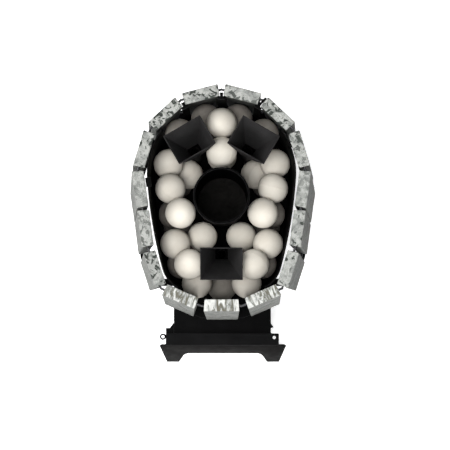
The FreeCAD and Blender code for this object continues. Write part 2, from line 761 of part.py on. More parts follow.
def hex_grid(layer):
    """Close-packed places for one layer, shifted from the layer below by a third of the pattern."""
    pitch = size("ball") + 2 * size("ball_gap")
    row_pitch = pitch * math.sqrt(3) / 2
    shift_y = layer * row_pitch * 2 / 3
    points = []
    for row in range(-4, 6):
        y = size("flue_y") + row * row_pitch + shift_y
        start = pitch / 2 if (row + layer) % 2 else 0
        for column in range(-3, 4):
            points.append(Vector(start + column * pitch, y, 0))
    return [p for p in points if inside_basket(p)]


def clear_of(centre, others):
    """Whether a ball keeps clear of all the others."""
    step = size("ball") + size("ball_gap")
    return all((centre - other).Length > step - 0.01 for other in others)


def make_stones():
    """Ceramic balls heaped in the basket: a fill of layers, and the balls that show on top of it."""
    top = []
    for x, y, z in TOP_BALLS:
        top += [Vector(sign * x, y, z) for sign in ((1, -1) if x else (1,))]
    fill = []
    for layer in range(FILL_LAYERS):
        for point in hex_grid(layer):
            centre = Vector(point.x, point.y, settle(point, fill))
            if centre.z < FILL_LIMIT and clear_of(centre, top):
                fill.append(centre)
    heap = list(fill)
    for point in top:
        heap.append(Vector(point.x, point.y, settle(point, heap)))
    for label, centres in (("stones_lower", fill), ("stones_top", heap[len(fill):])):
        balls = []
        for centre in centres:
            ball = doc.addObject("Part::Sphere", "ball_solid")
            bind(ball, Radius="ball / 2")
            ball.Placement = Placement(centre, Rotation())
            balls.append(ball)
        node(group(balls), label)


def make_door():
    """Fuel door: flanged leaf with strap hinges, glass and its clips, rope seal, hinge posts and pins."""
    leaf_block = box("-door_left", "door_right", "-door_front", "-door_back", "door_bottom", "door_top")
    hollow = box("-door_left + door_sheet", "door_right - door_sheet", "-door_front + door_sheet",
                 "-door_back + 1", "door_bottom + door_sheet", "door_top - door_sheet")
    window = box("-window_half", "window_half", "-door_front - 1", "-door_back + 1", "window_bottom",
                 "window_top")
    spindle_hole = rod("spindle + 2 * pin_play", 40, "latch_x", "-door_back + 10", "latch_z", (0, -1, 0))
    pieces = [cut(leaf_block, hollow, window, spindle_hole)]
    pin_holes = []
    for low in ("lower_hinge_z", "upper_hinge_z"):
        start = f"{low} + knuckle_length + 0.5"
        pieces.append(rod("knuckle", "knuckle_length", "-hinge_x", "-hinge_y", start))
        pieces.append(box("-hinge_x", "-hinge_x + 55", "-door_front - 3", "-door_front", start,
                          f"{start} + knuckle_length"))
        pin_holes.append(rod("pin + 2 * pin_play", "knuckle_length + 4", "-hinge_x", "-hinge_y",
                             f"{start} - 2"))
    node(cut(fuse(*pieces), *pin_holes), "door_leaf")
    glass_front = "-door_front + door_sheet + weld_gap"
    glass_back = f"{glass_front} + glass_thick"
    node(box("-window_half - glass_lap", "window_half + glass_lap", glass_front, glass_back,
             "window_bottom - glass_lap", "window_top + glass_lap"), "door_glass")
    clips, screws = [], []
    inner_face = "-door_front + door_sheet"
    for x in (50, -50):
        for screw_z, low, high, step_low, step_high in (
                ("window_bottom - glass_lap - 6", -6, 14, 5, 15),
                ("window_top + glass_lap + 6", -14, 6, -15, -5)):
            block = box(x - 8, x + 8, inner_face, f"{glass_back} + 1", f"{screw_z} + {low}",
                        f"{screw_z} + {high}")
            step = box(x - 9, x + 9, f"{inner_face} - 1", glass_back, f"{screw_z} + {step_low}",
                       f"{screw_z} + {step_high}")
            clips.append(cut(block, step, rod(4.6, 20, x, "-door_front", screw_z, (0, 1, 0))))
            screws.append(rod(4, 5.6, x, inner_face, screw_z, (0, 1, 0)))
    node(group(clips), "glass_clips")
    node(group(screws), "clip_screws")
    frame_front = "-tunnel_front - frame_thick"
    outer = box("-door_left + 1", "door_right - 1", f"{frame_front} - seal", frame_front, "door_bottom + 1",
                "door_top - 1")
    inner = box("-fuel_half", "fuel_half", f"{frame_front} - seal - 1", f"{frame_front} + 1",
                "fuel_bottom", "fuel_top")
    node(cut(outer, inner), "rope_seal")
    posts, pins = [], []
    for low in ("lower_hinge_z", "upper_hinge_z"):
        barrel = rod("knuckle", "knuckle_length", "-hinge_x", "-hinge_y", low)
        web = box("-hinge_x - 6", "-hinge_x + 6", "-hinge_y", frame_front, low, f"{low} + knuckle_length")
        hole = rod("pin", "knuckle_length + 2", "-hinge_x", "-hinge_y", f"{low} - 1")
        posts.append(cut(fuse(barrel, web), hole))
        pins.append(rod("pin", "2 * knuckle_length + 3", "-hinge_x", "-hinge_y", low))
    node(group(posts), "hinge_posts")
    node(group(pins), "hinge_pins")


def make_latch():
    """Latch: spindle through the door with a cam behind the frame, a lever and a knob in front."""
    cam_back = "-tunnel_front + 6"
    spindle = rod("spindle", "door_front + 8 - tunnel_front + 6", "latch_x", cam_back, "latch_z", (0, -1, 0))
    cam = box("latch_x - 5", "latch_x + 5", "-tunnel_front + 1", cam_back, "latch_z", "latch_z + cam_length")
    node(fuse(spindle, cam), "latch_spindle")
    lever_back = "-door_front - 8"
    lever = box("latch_x - 7", "latch_x + 7", f"{lever_back} - lever_thick", lever_back,
                "latch_z - lever_length", "latch_z + 9")
    knob_z = "latch_z - lever_length + 10"
    stem = rod(9, 4, "latch_x", f"{lever_back} - lever_thick", knob_z, (0, -1, 0))
    head = rod(20, 6, "latch_x", f"{lever_back} - lever_thick - 3", knob_z, (0, -1, 0))
    node(fuse(lever, stem, head), "latch_lever")


def make_drawer():
    """Ash drawer with its slotted front panel, the pull bar, the air slide and its rails."""
    panel_back = "-tunnel_front - frame_thick - 1"
    panel_front = f"{panel_back} - panel_thick"
    tray = cut(box("-tray_half", "tray_half", panel_back, "tray_back", "tray_bottom", "tray_top"),
               box("-tray_half + tray_sheet", "tray_half - tray_sheet", f"{panel_back} + tray_sheet",
                   "tray_back - tray_sheet", "tray_bottom + tray_sheet", "tray_top + 1"))
    slots = [box(f"{column} * slot_pitch - slot_width / 2", f"{column} * slot_pitch + slot_width / 2",
                 f"{panel_front} - 10", f"{panel_back} + 10", "slot_z - slot_height / 2",
                 "slot_z + slot_height / 2") for column in range(-2, 3)]
    node(cut(tray, *slots), "ash_tray")
    panel = box("-panel_half", "panel_half", panel_front, panel_back, "base_top + 1", "panel_top")
    node(cut(panel, *slots), "drawer_front")
    slide_front = f"{panel_front} - weld_gap - slide_thick"
    slide_half = "2 * slot_pitch + slot_width / 2 + 8"
    slide = box(f"-({slide_half})", slide_half, slide_front, f"{panel_front} - weld_gap",
                "slot_z - slot_height / 2 - 5", "slot_z + slot_height / 2 + 5")
    knob = rod(9, 10, f"{slide_half} - 7", f"{slide_front} + 1", "slot_z", (0, -1, 0))
    node(fuse(cut(slide, *slots), knob), "air_slide")
    rails = []
    for sign in (1, -1):
        edge = f"slot_z + {sign} * (slot_height / 2 + 5 + weld_gap)"
        rail_low, rail_high = (edge, f"{edge} + 5") if sign > 0 else (f"{edge} - 5", edge)
        lip_low, lip_high = (f"{edge} - 3", f"{edge} + 5") if sign > 0 else (f"{edge} - 5", f"{edge} + 3")
        web = box(f"-({slide_half}) - 14", f"{slide_half} + 14", f"{slide_front} - weld_gap", panel_front,
                  rail_low, rail_high)
        lip = box(f"-({slide_half}) - 14", f"{slide_half} + 14", f"{slide_front} - weld_gap - 2",
                  f"{slide_front} - weld_gap", lip_low, lip_high)
        rails.append(fuse(web, lip))
    node(group(rails), "slide_rails")
    pull_z = "panel_top - 17"
    feet = [rod(8, 14, x, panel_front, pull_z, (0, -1, 0)) for x in (-45, 45)]
    bar = rod(10, 120, -60, f"{panel_front} - 14", pull_z, (1, 0, 0))
    node(fuse(bar, *feet), "drawer_pull")


def level_turn(face):
    """Turn about the upright axis that takes x to a level direction."""
    return Rotation(math.degrees(math.atan2(face.y, face.x)), 0, 0)


def make_clips():
    """Small tabs on the casing's rim that keep the staves in place: one on the left, three at the back."""
    face = outward(SIDES[CLIP_SIDE])
    base = stave_place(CLIP_SIDE).multVec(Vector(size("clip_along") + size("clip_length") / 2, 0, 0))
    base = base - face * (size("stave_thick") + size("clip_width") + 2 * size("weld_gap"))
    base.z = size("casing_top")
    tab = doc.addObject("Part::Box", "tab")
    bind(tab, Length="clip_width", Width="clip_length", Height="clip_thick")
    tab.Placement = Placement(base, level_turn(face))
    tabs = [tab]
    inner = ring_at(stave_point(size("stave_thick"), 0)[0])
    centre = Vector(0, size("casing_centre"), 0)
    for index in CLIP_CORNERS:
        face = (outward(SIDES[index - 1]) + outward(SIDES[index])).normalize()
        rim = size("casing_radius") - size("casing_sheet") - (inner[index] - centre).Length
        points = [(rim, GAP_CLIP[0][1])] + GAP_CLIP
        points += [(along, -across) for along, across in reversed(points)]
        base = Vector(inner[index].x, inner[index].y, size("casing_top"))
        tabs.append(plate(points, "clip_thick", Placement(base, level_turn(face))))
    node(group(tabs), "rim_clips")


def make_stove():
    make_casing()
    make_firebox()
    make_tunnel()
    make_feet()
    make_staves()
    make_hoops()
    make_ledges()
    make_clips()
    make_hoppers()
    make_stones()
    make_door()
    make_latch()
    make_drawer()


outline_wire = outline.Shape.Wires[0]
outline_face = Part.Face(outline_wire)
make_stove()
doc.recompute()

for item in doc.Objects:
    if "Invalid" in item.State or "Error" in item.State:
        raise RuntimeError(f"{item.Label} did not compute: {item.State}")
for item in nodes:
    if item.Shape.isNull() or not item.Shape.isValid():
        raise RuntimeError(f"{item.Label} has no valid shape")

os.makedirs("parts", exist_ok=True)
for item in nodes:
    item.Shape.exportStep(f"parts/{item.Label}.step")
print(len(nodes), "pieces written")
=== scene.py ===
import json
import math

import bmesh
import bpy
from bpy.props import FloatProperty, FloatVectorProperty, PointerProperty
from mathutils import Matrix, Vector, noise


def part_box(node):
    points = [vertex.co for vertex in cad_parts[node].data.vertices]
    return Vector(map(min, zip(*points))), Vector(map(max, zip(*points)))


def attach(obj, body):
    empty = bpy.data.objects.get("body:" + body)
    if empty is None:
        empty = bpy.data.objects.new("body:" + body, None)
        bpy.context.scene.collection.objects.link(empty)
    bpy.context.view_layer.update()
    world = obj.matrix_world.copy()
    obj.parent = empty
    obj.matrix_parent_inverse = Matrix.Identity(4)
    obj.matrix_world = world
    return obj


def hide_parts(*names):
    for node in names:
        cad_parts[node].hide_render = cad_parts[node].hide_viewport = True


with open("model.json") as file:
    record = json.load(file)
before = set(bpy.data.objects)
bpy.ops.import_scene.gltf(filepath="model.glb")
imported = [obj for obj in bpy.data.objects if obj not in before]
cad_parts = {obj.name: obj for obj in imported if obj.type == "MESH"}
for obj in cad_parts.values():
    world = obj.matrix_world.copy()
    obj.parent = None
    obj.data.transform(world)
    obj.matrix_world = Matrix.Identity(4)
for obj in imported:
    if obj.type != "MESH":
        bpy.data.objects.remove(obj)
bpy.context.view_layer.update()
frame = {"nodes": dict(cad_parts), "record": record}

bl_info = {
    "name": "Sauna Stove Dressing",
    "version": (1, 0, 0),
    "blender": (4, 5, 0),
    "location": "3D View > Sidebar > Sauna Stove",
    "description": "Dresses the packed sauna stove with stone, ceramic and painted steel",
    "category": "Object",
}

NODES = frame["nodes"]
BODIES = frame["record"]["behaviour"]["bodies"]
BODY_OF = {node: body for body, members in BODIES.items() for node in members}
UP = Vector((0, 0, 1))
BACK = Vector((0, 1, 0))
MM = 0.001
SAME_PLACE = 0.01 * MM
SAME_LEVEL = 1 * MM
FLAT_ANGLE = math.radians(0.5)
SHARP_ANGLE = math.radians(40)

# Staves. A grid is given across, through and along a stave, heights count from its top and depths from its
# outer face, and the scales are those of noise, per metre.
STAVES = sorted(name for name in NODES if name.removeprefix("stave_").isdigit())
FRONT_STAVES = ("stave_07", "stave_08", "stave_09")
STAVE_GRID = (7 * MM, 5 * MM, 11 * MM)
STAVE_FINE = 1.5 * MM
STAVE_SHIFT = (3.17, 1.31, 0.73)
CHIP_SCALE = 55
CRUMB_SCALE = 170
CHIP_START = 0.12
CHIP_POWER = 1.6
WAVE_SCALE = 21
SPOTTED_TOP = (-6 * MM, -1 * MM)
STREAKED_TOP = (-3.5 * MM, -0.8 * MM)
# Painted shade on the faces towards the casing: the depths and heights where it fades in.
PAINTED_SHADE_DEPTH = (-24.5 * MM, -22 * MM)
PAINTED_SHADE_HEIGHT = (-5 * MM, -1.5 * MM)

# Balls. Bands are latitudes in degrees.
BALL_AROUND = 40
BALL_BANDS = (84, 76, 67, 58, 49, 40, 31, 22, 13, 6, 2.2, 1.1)
SEAM_BAND = 1.5
GOLDEN_ANGLE = 2.39996
TILT_STEP = 1.1
BALL_SHIFT = (1.7, 0.9, 2.3)
LUMP_SCALE = 1.6

# Painted shade on the balls, kept in a layer called soot, where other balls or the hoppers lie over them.
# Cover counts what lies over a ball: the shade starts at one value of it and is full a span on.
PAINTED_SHADE_LAYER = "soot"
SHADE_START = 0.3
SHADE_SPAN = 0.65
MOST_SHADE = 0.92
COVER_RISE = 20 * MM
BACK_SHADE = 0.3
BACK_START = 170 * MM
BACK_SPAN = 70 * MM
# A little painted shade on balls below the top of the heap, growing with depth.
DEPTH_SHADE = 0.13
DEPTH_SHADE_FREE = 12 * MM
DEPTH_SHADE_FADE = 8 * MM
# Balls next to the flue keep only a share of the painted shade, so they are painted lighter.
FLUE_LIT_REACH = 105 * MM
FLUE_LIT_SHARE = 0.3

# Water hoppers, and how far each keeps the balls round it in shade.
HOPPERS = {"hopper_front": 100 * MM, "hopper_back_left": 80 * MM, "hopper_back_right": 80 * MM}
# Where no light reaches: below this depth in a hopper, and within this margin of the flue's bore.
HOPPER_DROP = 69 * MM
BORE_SKIN = 0.3 * MM

# Widths of broken edges that differ from the common one.
HOPPER_EDGE = 0.5 * MM
GRATE_EDGE = 1.5 * MM
FOOT_EDGE = 1.0 * MM
LEVER_EDGE = 1.2 * MM
EYE_EDGE = 0.4 * MM

# Small forms that only the scene has.
EYE_RIM = 0.6 * MM
EYE_FLARE = 0.9 * MM
ROPE_STEP = 1.5 * MM
ROPE_INSET = 3.3 * MM
ROPE_CORNER = 6 * MM
CORNER_STEPS = 8
ROPE_TURNS = 84
ROPE_REACH = 3 * MM
ROPE_THICK = 1 * MM
# Strands of the rope: how far they swing and how big they are, as shares of its reach and thickness.
STRANDS = 3
STRAND_ORBIT = (0.56, 0.45)
STRAND_SIZE = (0.42, 0.5)
# Weld beads stand off the casing and the tunnel. The upright ones end short of the tunnel's bottom and top.
WELD_STEP = 1.2 * MM
WELD_RADIUS = 2 * MM
WELD_FORWARD = 0.5 * MM
WELD_LIFT = 0.6 * MM
WELD_ENDS = (3 * MM, 2 * MM)
# Turned pieces: radius and height in millimetres.
PIN_PROFILE = [(2.2, 0), (3, 0.8), (3, 36.8), (4.8, 36.9), (4.8, 38.2), (3.6, 39.6), (1.2, 40)]
CLIP_BOLT_WASHER = [(2, 0), (2, 5.35), (3.9, 5.4), (3.9, 5.8), (3.5, 5.9)]
CLIP_BOLT_HEAD = [(3.3, 5.8), (3.3, 6.7), (2.7, 7.0)]
RIVET_PROFILE = [(3.2, 0), (3.2, 0.6), (2.6, 1.3), (1.5, 1.8), (0.5, 1.95)]
RIVET_SINK = 0.3 * MM
# Rivets of a hinge strap: their reach from the pin, the strap's lift above the pin's middle and its set-back
# from the front of the knuckle.
STRAP_RIVETS = (20 * MM, 46 * MM)
STRAP_LIFT = 8 * MM
STRAP_SETBACK = 6 * MM
RAIL_RIVET_INSET = (3.5 * MM, 2.5 * MM)

# Stage, in metres. A light has a place and a size.
FLOOR_REACH = 6.0
COVE_RADIUS = 2.5
WALL_HEIGHT = 9.0
WALL_LIFT = 1 * MM
WALL_SIDES = 64
LIGHT_AIM = (0, 0, 0.5)
LIGHTS = {
    "top": ((-0.5, -0.5, 4.2), 1.9),
    "key": ((-3.3, 1.0, 2.7), 2.6),
    "fill": ((0.4, -3.6, 2.8), 2.4),
}
# How far above and below level the sky's two strengths blend, for a direction of length one.
HORIZON = 0.1
# Width of the camera's sensor in millimetres.
SENSOR_WIDTH = 36


class StaveSettings(bpy.types.PropertyGroup):
    """Stone staves round the casing."""
    edge_round: FloatProperty(name="Edge round", description="Least radius of the stones' worn edges",
                              default=1.0 * MM, unit="LENGTH")
    chip: FloatProperty(name="Chips", description="Extra radius where an edge is chipped",
                        default=7 * MM, unit="LENGTH")
    waviness: FloatProperty(name="Waviness", description="Height of the saw's waves on the faces",
                            default=0.5 * MM, unit="LENGTH")
    pale: FloatVectorProperty(name="Pale stone", description="Colour of the stone's ground mass",
                              default=(0.357, 0.363, 0.344), subtype="COLOR")
    deep: FloatVectorProperty(name="Grey stone", description="Colour of the darker clouds in the stone",
                              default=(0.199, 0.206, 0.196), subtype="COLOR")
    speckle: FloatVectorProperty(name="Speckles", description="Colour of the dark mineral grains",
                                 default=(0.029, 0.033, 0.029), subtype="COLOR")
    streak: FloatVectorProperty(name="Bright bars", description="Colour of the front stones' bright bars",
                                default=(0.52, 0.525, 0.505), subtype="COLOR")
    bar: FloatVectorProperty(name="Olive bars", description="Colour of the front stones' dark bars",
                             default=(0.105, 0.100, 0.078), subtype="COLOR")


class BallSettings(bpy.types.PropertyGroup):
    """Ceramic balls in the stone basket."""
    seam: FloatProperty(name="Press seam", description="Height of the seam left by the press",
                        default=0.25 * MM, unit="LENGTH")
    unevenness: FloatProperty(name="Unevenness", description="How far a ball departs from round",
                              default=0.35 * MM, unit="LENGTH")
    clay: FloatVectorProperty(name="Clay", description="Colour of the fired clay",
                              default=(0.63, 0.597, 0.53), subtype="COLOR")
    # Painted shade: the colour that balls blend to where they lie under others, towards the back and below
    # the top of the heap.
    soot: FloatVectorProperty(name="Soot", description="Colour of the balls that lie under others",
                              default=(0.070, 0.060, 0.054), subtype="COLOR")
    clay_dark: FloatVectorProperty(name="Dark clay", description="Colour of the clay's darker patches",
                                   default=(0.60, 0.56, 0.49), subtype="COLOR")


class SteelSettings(bpy.types.PropertyGroup):
    """Painted sheet steel, rods and iron."""
    edge: FloatProperty(name="Edge", description="Width of the broken edges of plates",
                        default=0.7 * MM, unit="LENGTH")
    paint: FloatVectorProperty(name="Black paint", description="Heat-resistant paint of casing and tunnel",
                               default=(0.0017, 0.0017, 0.0018), subtype="COLOR")
    hopper_paint: FloatVectorProperty(name="Hopper paint", description="Dark grey paint of the hoppers",
                                      default=(0.0150, 0.0146, 0.0147), subtype="COLOR")
    foot_paint: FloatVectorProperty(name="Foot paint", description="Paint of the foot plates",
                                    default=(0.0042, 0.0038, 0.0037), subtype="COLOR")
    bright: FloatVectorProperty(name="Handle steel", description="Brushed steel of lever, pull and slide",
                                default=(0.42, 0.42, 0.43), subtype="COLOR")
    rod: FloatVectorProperty(name="Rod steel", description="Steel of the hoops and pins",
                             default=(0.050, 0.050, 0.052), subtype="COLOR")
    iron: FloatVectorProperty(name="Cast iron", description="Grate and baffle",
                              default=(0.035, 0.033, 0.031), subtype="COLOR")
    glass: FloatVectorProperty(name="Fire glass", description="Tint of the door glass",
                               default=(0.10, 0.097, 0.092), subtype="COLOR")
    rope: FloatVectorProperty(name="Seal rope", description="Glass-fibre rope round the door opening",
                              default=(0.42, 0.41, 0.38), subtype="COLOR")


class StageSettings(bpy.types.PropertyGroup):
    """Camera, light and floor."""
    eye: FloatVectorProperty(name="Camera", description="Place of the camera",
                             default=(0.014, -0.099, 3.65), subtype="TRANSLATION", unit="LENGTH")
    tilt: FloatProperty(name="Tilt", description="Turn of the camera from straight down",
                        default=math.radians(1.969), subtype="ANGLE")
    pan: FloatProperty(name="Pan", description="Turn of the camera to the side",
                       default=math.radians(0.132), subtype="ANGLE")
    lens: FloatProperty(name="Lens", description="Focal length in millimetres on a 36 mm sensor",
                        default=104.16)
    sky: FloatProperty(name="Sky", description="Strength of the even light from above", default=0.18)
    bounce: FloatProperty(name="Bounce", description="Strength of the light from below", default=0.12)
    top: FloatProperty(name="Top light", description="Power of the wide light overhead",
                       default=150, unit="POWER")
    key: FloatProperty(name="Key light", description="Power of the soft light from the back left",
                       default=115, unit="POWER")
    fill: FloatProperty(name="Fill light", description="Power of the soft light from the front",
                        default=105, unit="POWER")
    glow: FloatProperty(name="Floor glow", description="The floor's own light, which keeps its shadows pale",
                        default=0.6)
    floor: FloatVectorProperty(name="Floor", description="Colour of the floor",
                               default=(0.93, 0.93, 0.93), subtype="COLOR")


class StoveSettings(bpy.types.PropertyGroup):
    """All settings of the stove's dressing."""
    stave: PointerProperty(type=StaveSettings)
    ball: PointerProperty(type=BallSettings)
    steel: PointerProperty(type=SteelSettings)
    stage: PointerProperty(type=StageSettings)


def settings():
    """Settings of the stove's dressing in this scene."""
    return bpy.context.scene.sauna_stove


class Finish:
    """A material in the making, with short ways to add and join its nodes."""

    def __init__(self, name):
        self.material = bpy.data.materials.new(name)
        self.material.use_nodes = True
        self.tree = self.material.node_tree
        self.surface = self.tree.nodes["Principled BSDF"]
        self.place = self.add("ShaderNodeTexCoord").outputs["Object"]

    def feed(self, socket, value):
        """Join a socket to another one, or give it a value."""
        if isinstance(value, bpy.types.NodeSocket):
            self.tree.links.new(value, socket)
        else:
            socket.default_value = value

    def add(self, kind, inputs=None, **values):
        """Add a node with its settings and inputs."""
        node = self.tree.nodes.new(kind)
        for name, value in values.items():
            setattr(node, name, value)
        for key, value in (inputs or {}).items():
            self.feed(node.inputs[key], value)
        return node

    def set(self, **sockets):
        """Set or join sockets of the surface shader, named with underscores for spaces."""
        for name, value in sockets.items():
            self.feed(self.surface.inputs[name.replace("_", " ")], value)

    def noise(self, scale, detail=4.0, roughness=0.5, distortion=0.0, place=None):
        """Grey noise at a scale per metre."""
        inputs = {"Vector": place or self.place, "Scale": scale, "Detail": detail, "Roughness": roughness,
                  "Distortion": distortion}
        return self.add("ShaderNodeTexNoise", inputs).outputs[0]

    def stretched(self, scale, place=None):
        """The place with each axis scaled, for grain that runs one way."""
        return self.add("ShaderNodeMapping", {"Vector": place or self.place, "Scale": scale}).outputs[0]

    def ramp(self, factor, *stops):
        """Colour or grey looked up from a factor; a stop is (position, value)."""
        node = self.add("ShaderNodeValToRGB", {0: factor})
        elements = node.color_ramp.elements
        while len(elements) < len(stops):
            elements.new(0.5)
        for element, (position, value) in zip(elements, stops):
            element.position = position
            element.color = (*value, 1) if hasattr(value, "__len__") else (value, value, value, 1)
        return node.outputs[0]

    def mix(self, factor, first, second):
        """Blend of two colours by a factor."""
        node = self.add("ShaderNodeMix", data_type="RGBA")
        for index, value in ((0, factor), (6, first), (7, second)):
            self.feed(node.inputs[index], (*value, 1) if index and hasattr(value, "__len__") else value)
        return node.outputs[2]

    def fade(self, value, span, low=0.0, high=1.0):
        """Number that goes from low to high as a value passes through a span, and is held at both ends."""
        inputs = {0: value, 1: span[0], 2: span[1], 3: low, 4: high}
        return self.add("ShaderNodeMapRange", inputs).outputs[0]

    def times(self, first, second):
        """Product of two numbers."""
        return self.add("ShaderNodeMath", {0: first, 1: second}, operation="MULTIPLY").outputs[0]

    def bump(self, height, depth, below=None):
        """Small relief of the given depth in metres, added to relief below it."""
        inputs = {"Height": height, "Distance": depth, "Strength": 1.0}
        if below is not None:
            inputs["Normal"] = below
        return self.add("ShaderNodeBump", inputs).outputs[0]


def shaded(colour, factor):
    """Colour made lighter or darker by a factor."""
    return tuple(min(1.0, part * factor) for part in colour)


def stone_finish(name, streaked):
    """Sawn stone: grey clouds, dark grains in clusters, thin veins; bright streaks where asked.

    The faces towards the casing are darkened with painted shade below their top.
    """
    values = settings().stave
    finish = Finish(name)
    where = finish.add("ShaderNodeObjectInfo").outputs["Location"]
    apart = (7, 7, 7)
    spread = finish.add("ShaderNodeVectorMath", {0: where, 1: apart}, operation="MULTIPLY").outputs[0]
    place = finish.add("ShaderNodeVectorMath", {0: finish.place, 1: spread}, operation="ADD").outputs[0]
    clouds = finish.noise(48, 5, 0.65, 0.7, place)
    ground = finish.ramp(clouds, (0.34, shaded(values.deep, 0.85)), (0.56, values.pale))
    grain = finish.noise(900, 3, 0.6, 0, place)
    ground = finish.mix(finish.ramp(grain, (0.35, 0.0), (0.72, 0.38)), ground, shaded(values.deep, 0.5))
    amount = finish.ramp(finish.noise(3.5, 1, 0.5, 0, place), (0.34, 0.42), (0.48, 1.0))
    clusters = finish.ramp(finish.noise(30, 3, 0.55, 0.5, place), (0.38, 0.0), (0.47, 1.0))
    blots = finish.ramp(finish.noise(78, 4, 0.55, 0.9, place), (0.52, 0.0), (0.56, 1.0))
    spot = finish.add("ShaderNodeSeparateXYZ", {0: finish.place})
    depth, height = spot.outputs["Y"], spot.outputs["Z"]
    amount = finish.times(amount, finish.fade(height, SPOTTED_TOP, 0.35))
    dark = finish.times(finish.times(clusters, blots), amount)
    colour = finish.mix(dark, ground, values.speckle)
    flecks = finish.ramp(finish.noise(330, 4, 0.6, 0.4, place), (0.60, 0.0), (0.68, 0.75))
    colour = finish.mix(flecks, colour, shaded(values.speckle, 2.6))
    veins = finish.ramp(finish.noise(34, 6, 0.55, 1.6, place), (0.485, 0.0), (0.5, 1.0), (0.515, 0.0))
    colour = finish.mix(finish.times(veins, 0.55), colour, shaded(values.speckle, 1.8))
    if streaked:
        lines = finish.noise(1, 4, 0.6, 0.9, finish.stretched((105, 26, 12), place))
        bars = finish.ramp(lines, (0.42, values.bar), (0.47, shaded(values.deep, 0.95)),
                           (0.51, values.pale), (0.57, values.streak))
        patches = finish.ramp(finish.noise(34, 3, 0.6, 0.4, place), (0.36, 0.5), (0.52, 1.0))
        top = finish.fade(height, STREAKED_TOP)
        colour = finish.mix(finish.times(top, patches), colour, bars)
    # Painted shade: the faces towards the casing, below the top, blend towards the speckle colour.
    inside = finish.fade(depth, PAINTED_SHADE_DEPTH, 1.0, 0.0)
    below = finish.fade(height, PAINTED_SHADE_HEIGHT, 0.85, 0.0)
    colour = finish.mix(finish.times(inside, below), colour, values.speckle)
    finish.set(Base_Color=colour, Specular_IOR_Level=0.12,
               Roughness=finish.ramp(finish.noise(60, 4, 0.6, 0, place), (0.3, 0.62), (0.7, 0.82)))
    relief = finish.bump(finish.noise(520, 5, 0.65, 0, place), 0.5 * MM)
    saw = finish.noise(1, 2, 0.5, 0.2, finish.stretched((14, 14, 420), place))
    finish.set(Normal=finish.bump(saw, 0.15 * MM, relief))
    return finish.material


def ceramic_finish(name):
    """Fired clay: cream with faint cloudy patches and fine pores."""
    values = settings().ball
    finish = Finish(name)
    patches = finish.noise(38, 4, 0.6, 0.3)
    colour = finish.ramp(patches, (0.30, values.clay_dark), (0.58, values.clay))
    pores = finish.ramp(finish.noise(900, 2, 0.5), (0.66, 0.0), (0.74, 0.45))
    colour = finish.mix(pores, colour, shaded(values.clay_dark, 0.55))
    # Painted shade from the layer called soot, made a little uneven, darkens the clay towards the soot
    # colour.
    covered = finish.add("ShaderNodeAttribute", attribute_name=PAINTED_SHADE_LAYER).outputs["Fac"]
    uneven = finish.ramp(finish.noise(26, 4, 0.6, 0.5), (0.3, 0.78), (0.7, 1.0))
    colour = finish.mix(finish.times(covered, uneven), colour, values.soot)
    finish.set(Base_Color=colour, Specular_IOR_Level=0.12,
               Roughness=finish.ramp(finish.noise(70, 3), (0.3, 0.55), (0.7, 0.72)))
    finish.set(Normal=finish.bump(finish.noise(650, 4, 0.6), 0.12 * MM))
    return finish.material


def paint_finish(name, colour, rough=0.62, gloss=0.18):
    """Heat-resistant paint on steel: fine orange peel, cloudy sheen and a little dust."""
    finish = Finish(name)
    clouds = finish.noise(22, 5, 0.6, 0.4)
    tone = finish.ramp(clouds, (0.3, shaded(colour, 0.78)), (0.7, shaded(colour, 1.25)))
    dust = finish.ramp(finish.noise(330, 3, 0.6), (0.60, 0.0), (0.72, 0.35))
    tone = finish.mix(dust, tone, shaded(colour, 2.4))
    finish.set(Base_Color=tone, Specular_IOR_Level=gloss,
               Roughness=finish.ramp(finish.noise(48, 4, 0.6), (0.3, rough - 0.07), (0.7, rough + 0.09)))
    peel = finish.bump(finish.noise(760, 3, 0.55), 0.10 * MM)
    finish.set(Normal=finish.bump(finish.noise(9, 2, 0.5), 0.8 * MM, peel))
    return finish.material


def metal_finish(name, colour, rough, grain=(18, 18, 900)):
    """Bare steel with a brushed grain that runs across the stretched axis."""
    finish = Finish(name)
    brushed = finish.noise(1, 4, 0.6, 0, finish.stretched(grain))
    tone = finish.ramp(brushed, (0.25, shaded(colour, 0.7)), (0.75, shaded(colour, 1.2)))
    stains = finish.ramp(finish.noise(40, 5, 0.6, 0.5), (0.55, 0.0), (0.75, 0.5))
    tone = finish.mix(stains, tone, shaded(colour, 0.45))
    finish.set(Base_Color=tone, Metallic=1.0,
               Roughness=finish.ramp(brushed, (0.2, rough - 0.08), (0.8, rough + 0.1)))
    finish.set(Normal=finish.bump(brushed, 0.05 * MM))
    return finish.material


def iron_finish(name, colour):
    """Cast iron with a sandy skin, soot and patches of rust."""
    finish = Finish(name)
    skin = finish.noise(420, 5, 0.65)
    tone = finish.ramp(skin, (0.3, shaded(colour, 0.6)), (0.7, shaded(colour, 1.4)))
    rust = finish.ramp(finish.noise(30, 6, 0.65, 0.8), (0.56, 0.0), (0.70, 0.55))
    rust_brown = (0.085, 0.040, 0.020)
    tone = finish.mix(rust, tone, rust_brown)
    finish.set(Base_Color=tone, Specular_IOR_Level=0.3,
               Roughness=finish.ramp(skin, (0.3, 0.7), (0.7, 0.92)))
    finish.set(Normal=finish.bump(skin, 0.5 * MM))
    return finish.material


def soot_finish(name, colour):
    """Sooty plate inside the firebox, with patches of pale ash."""
    finish = Finish(name)
    soot = finish.noise(24, 6, 0.65, 0.6)
    ash = (0.06, 0.058, 0.055)
    tone = finish.ramp(soot, (0.35, shaded(colour, 0.2)), (0.66, shaded(colour, 0.6)), (0.85, ash))
    finish.set(Base_Color=tone, Specular_IOR_Level=0.1,
               Roughness=finish.ramp(soot, (0.3, 0.82), (0.7, 0.97)))
    finish.set(Normal=finish.bump(finish.noise(300, 5, 0.7), 0.4 * MM))
    return finish.material


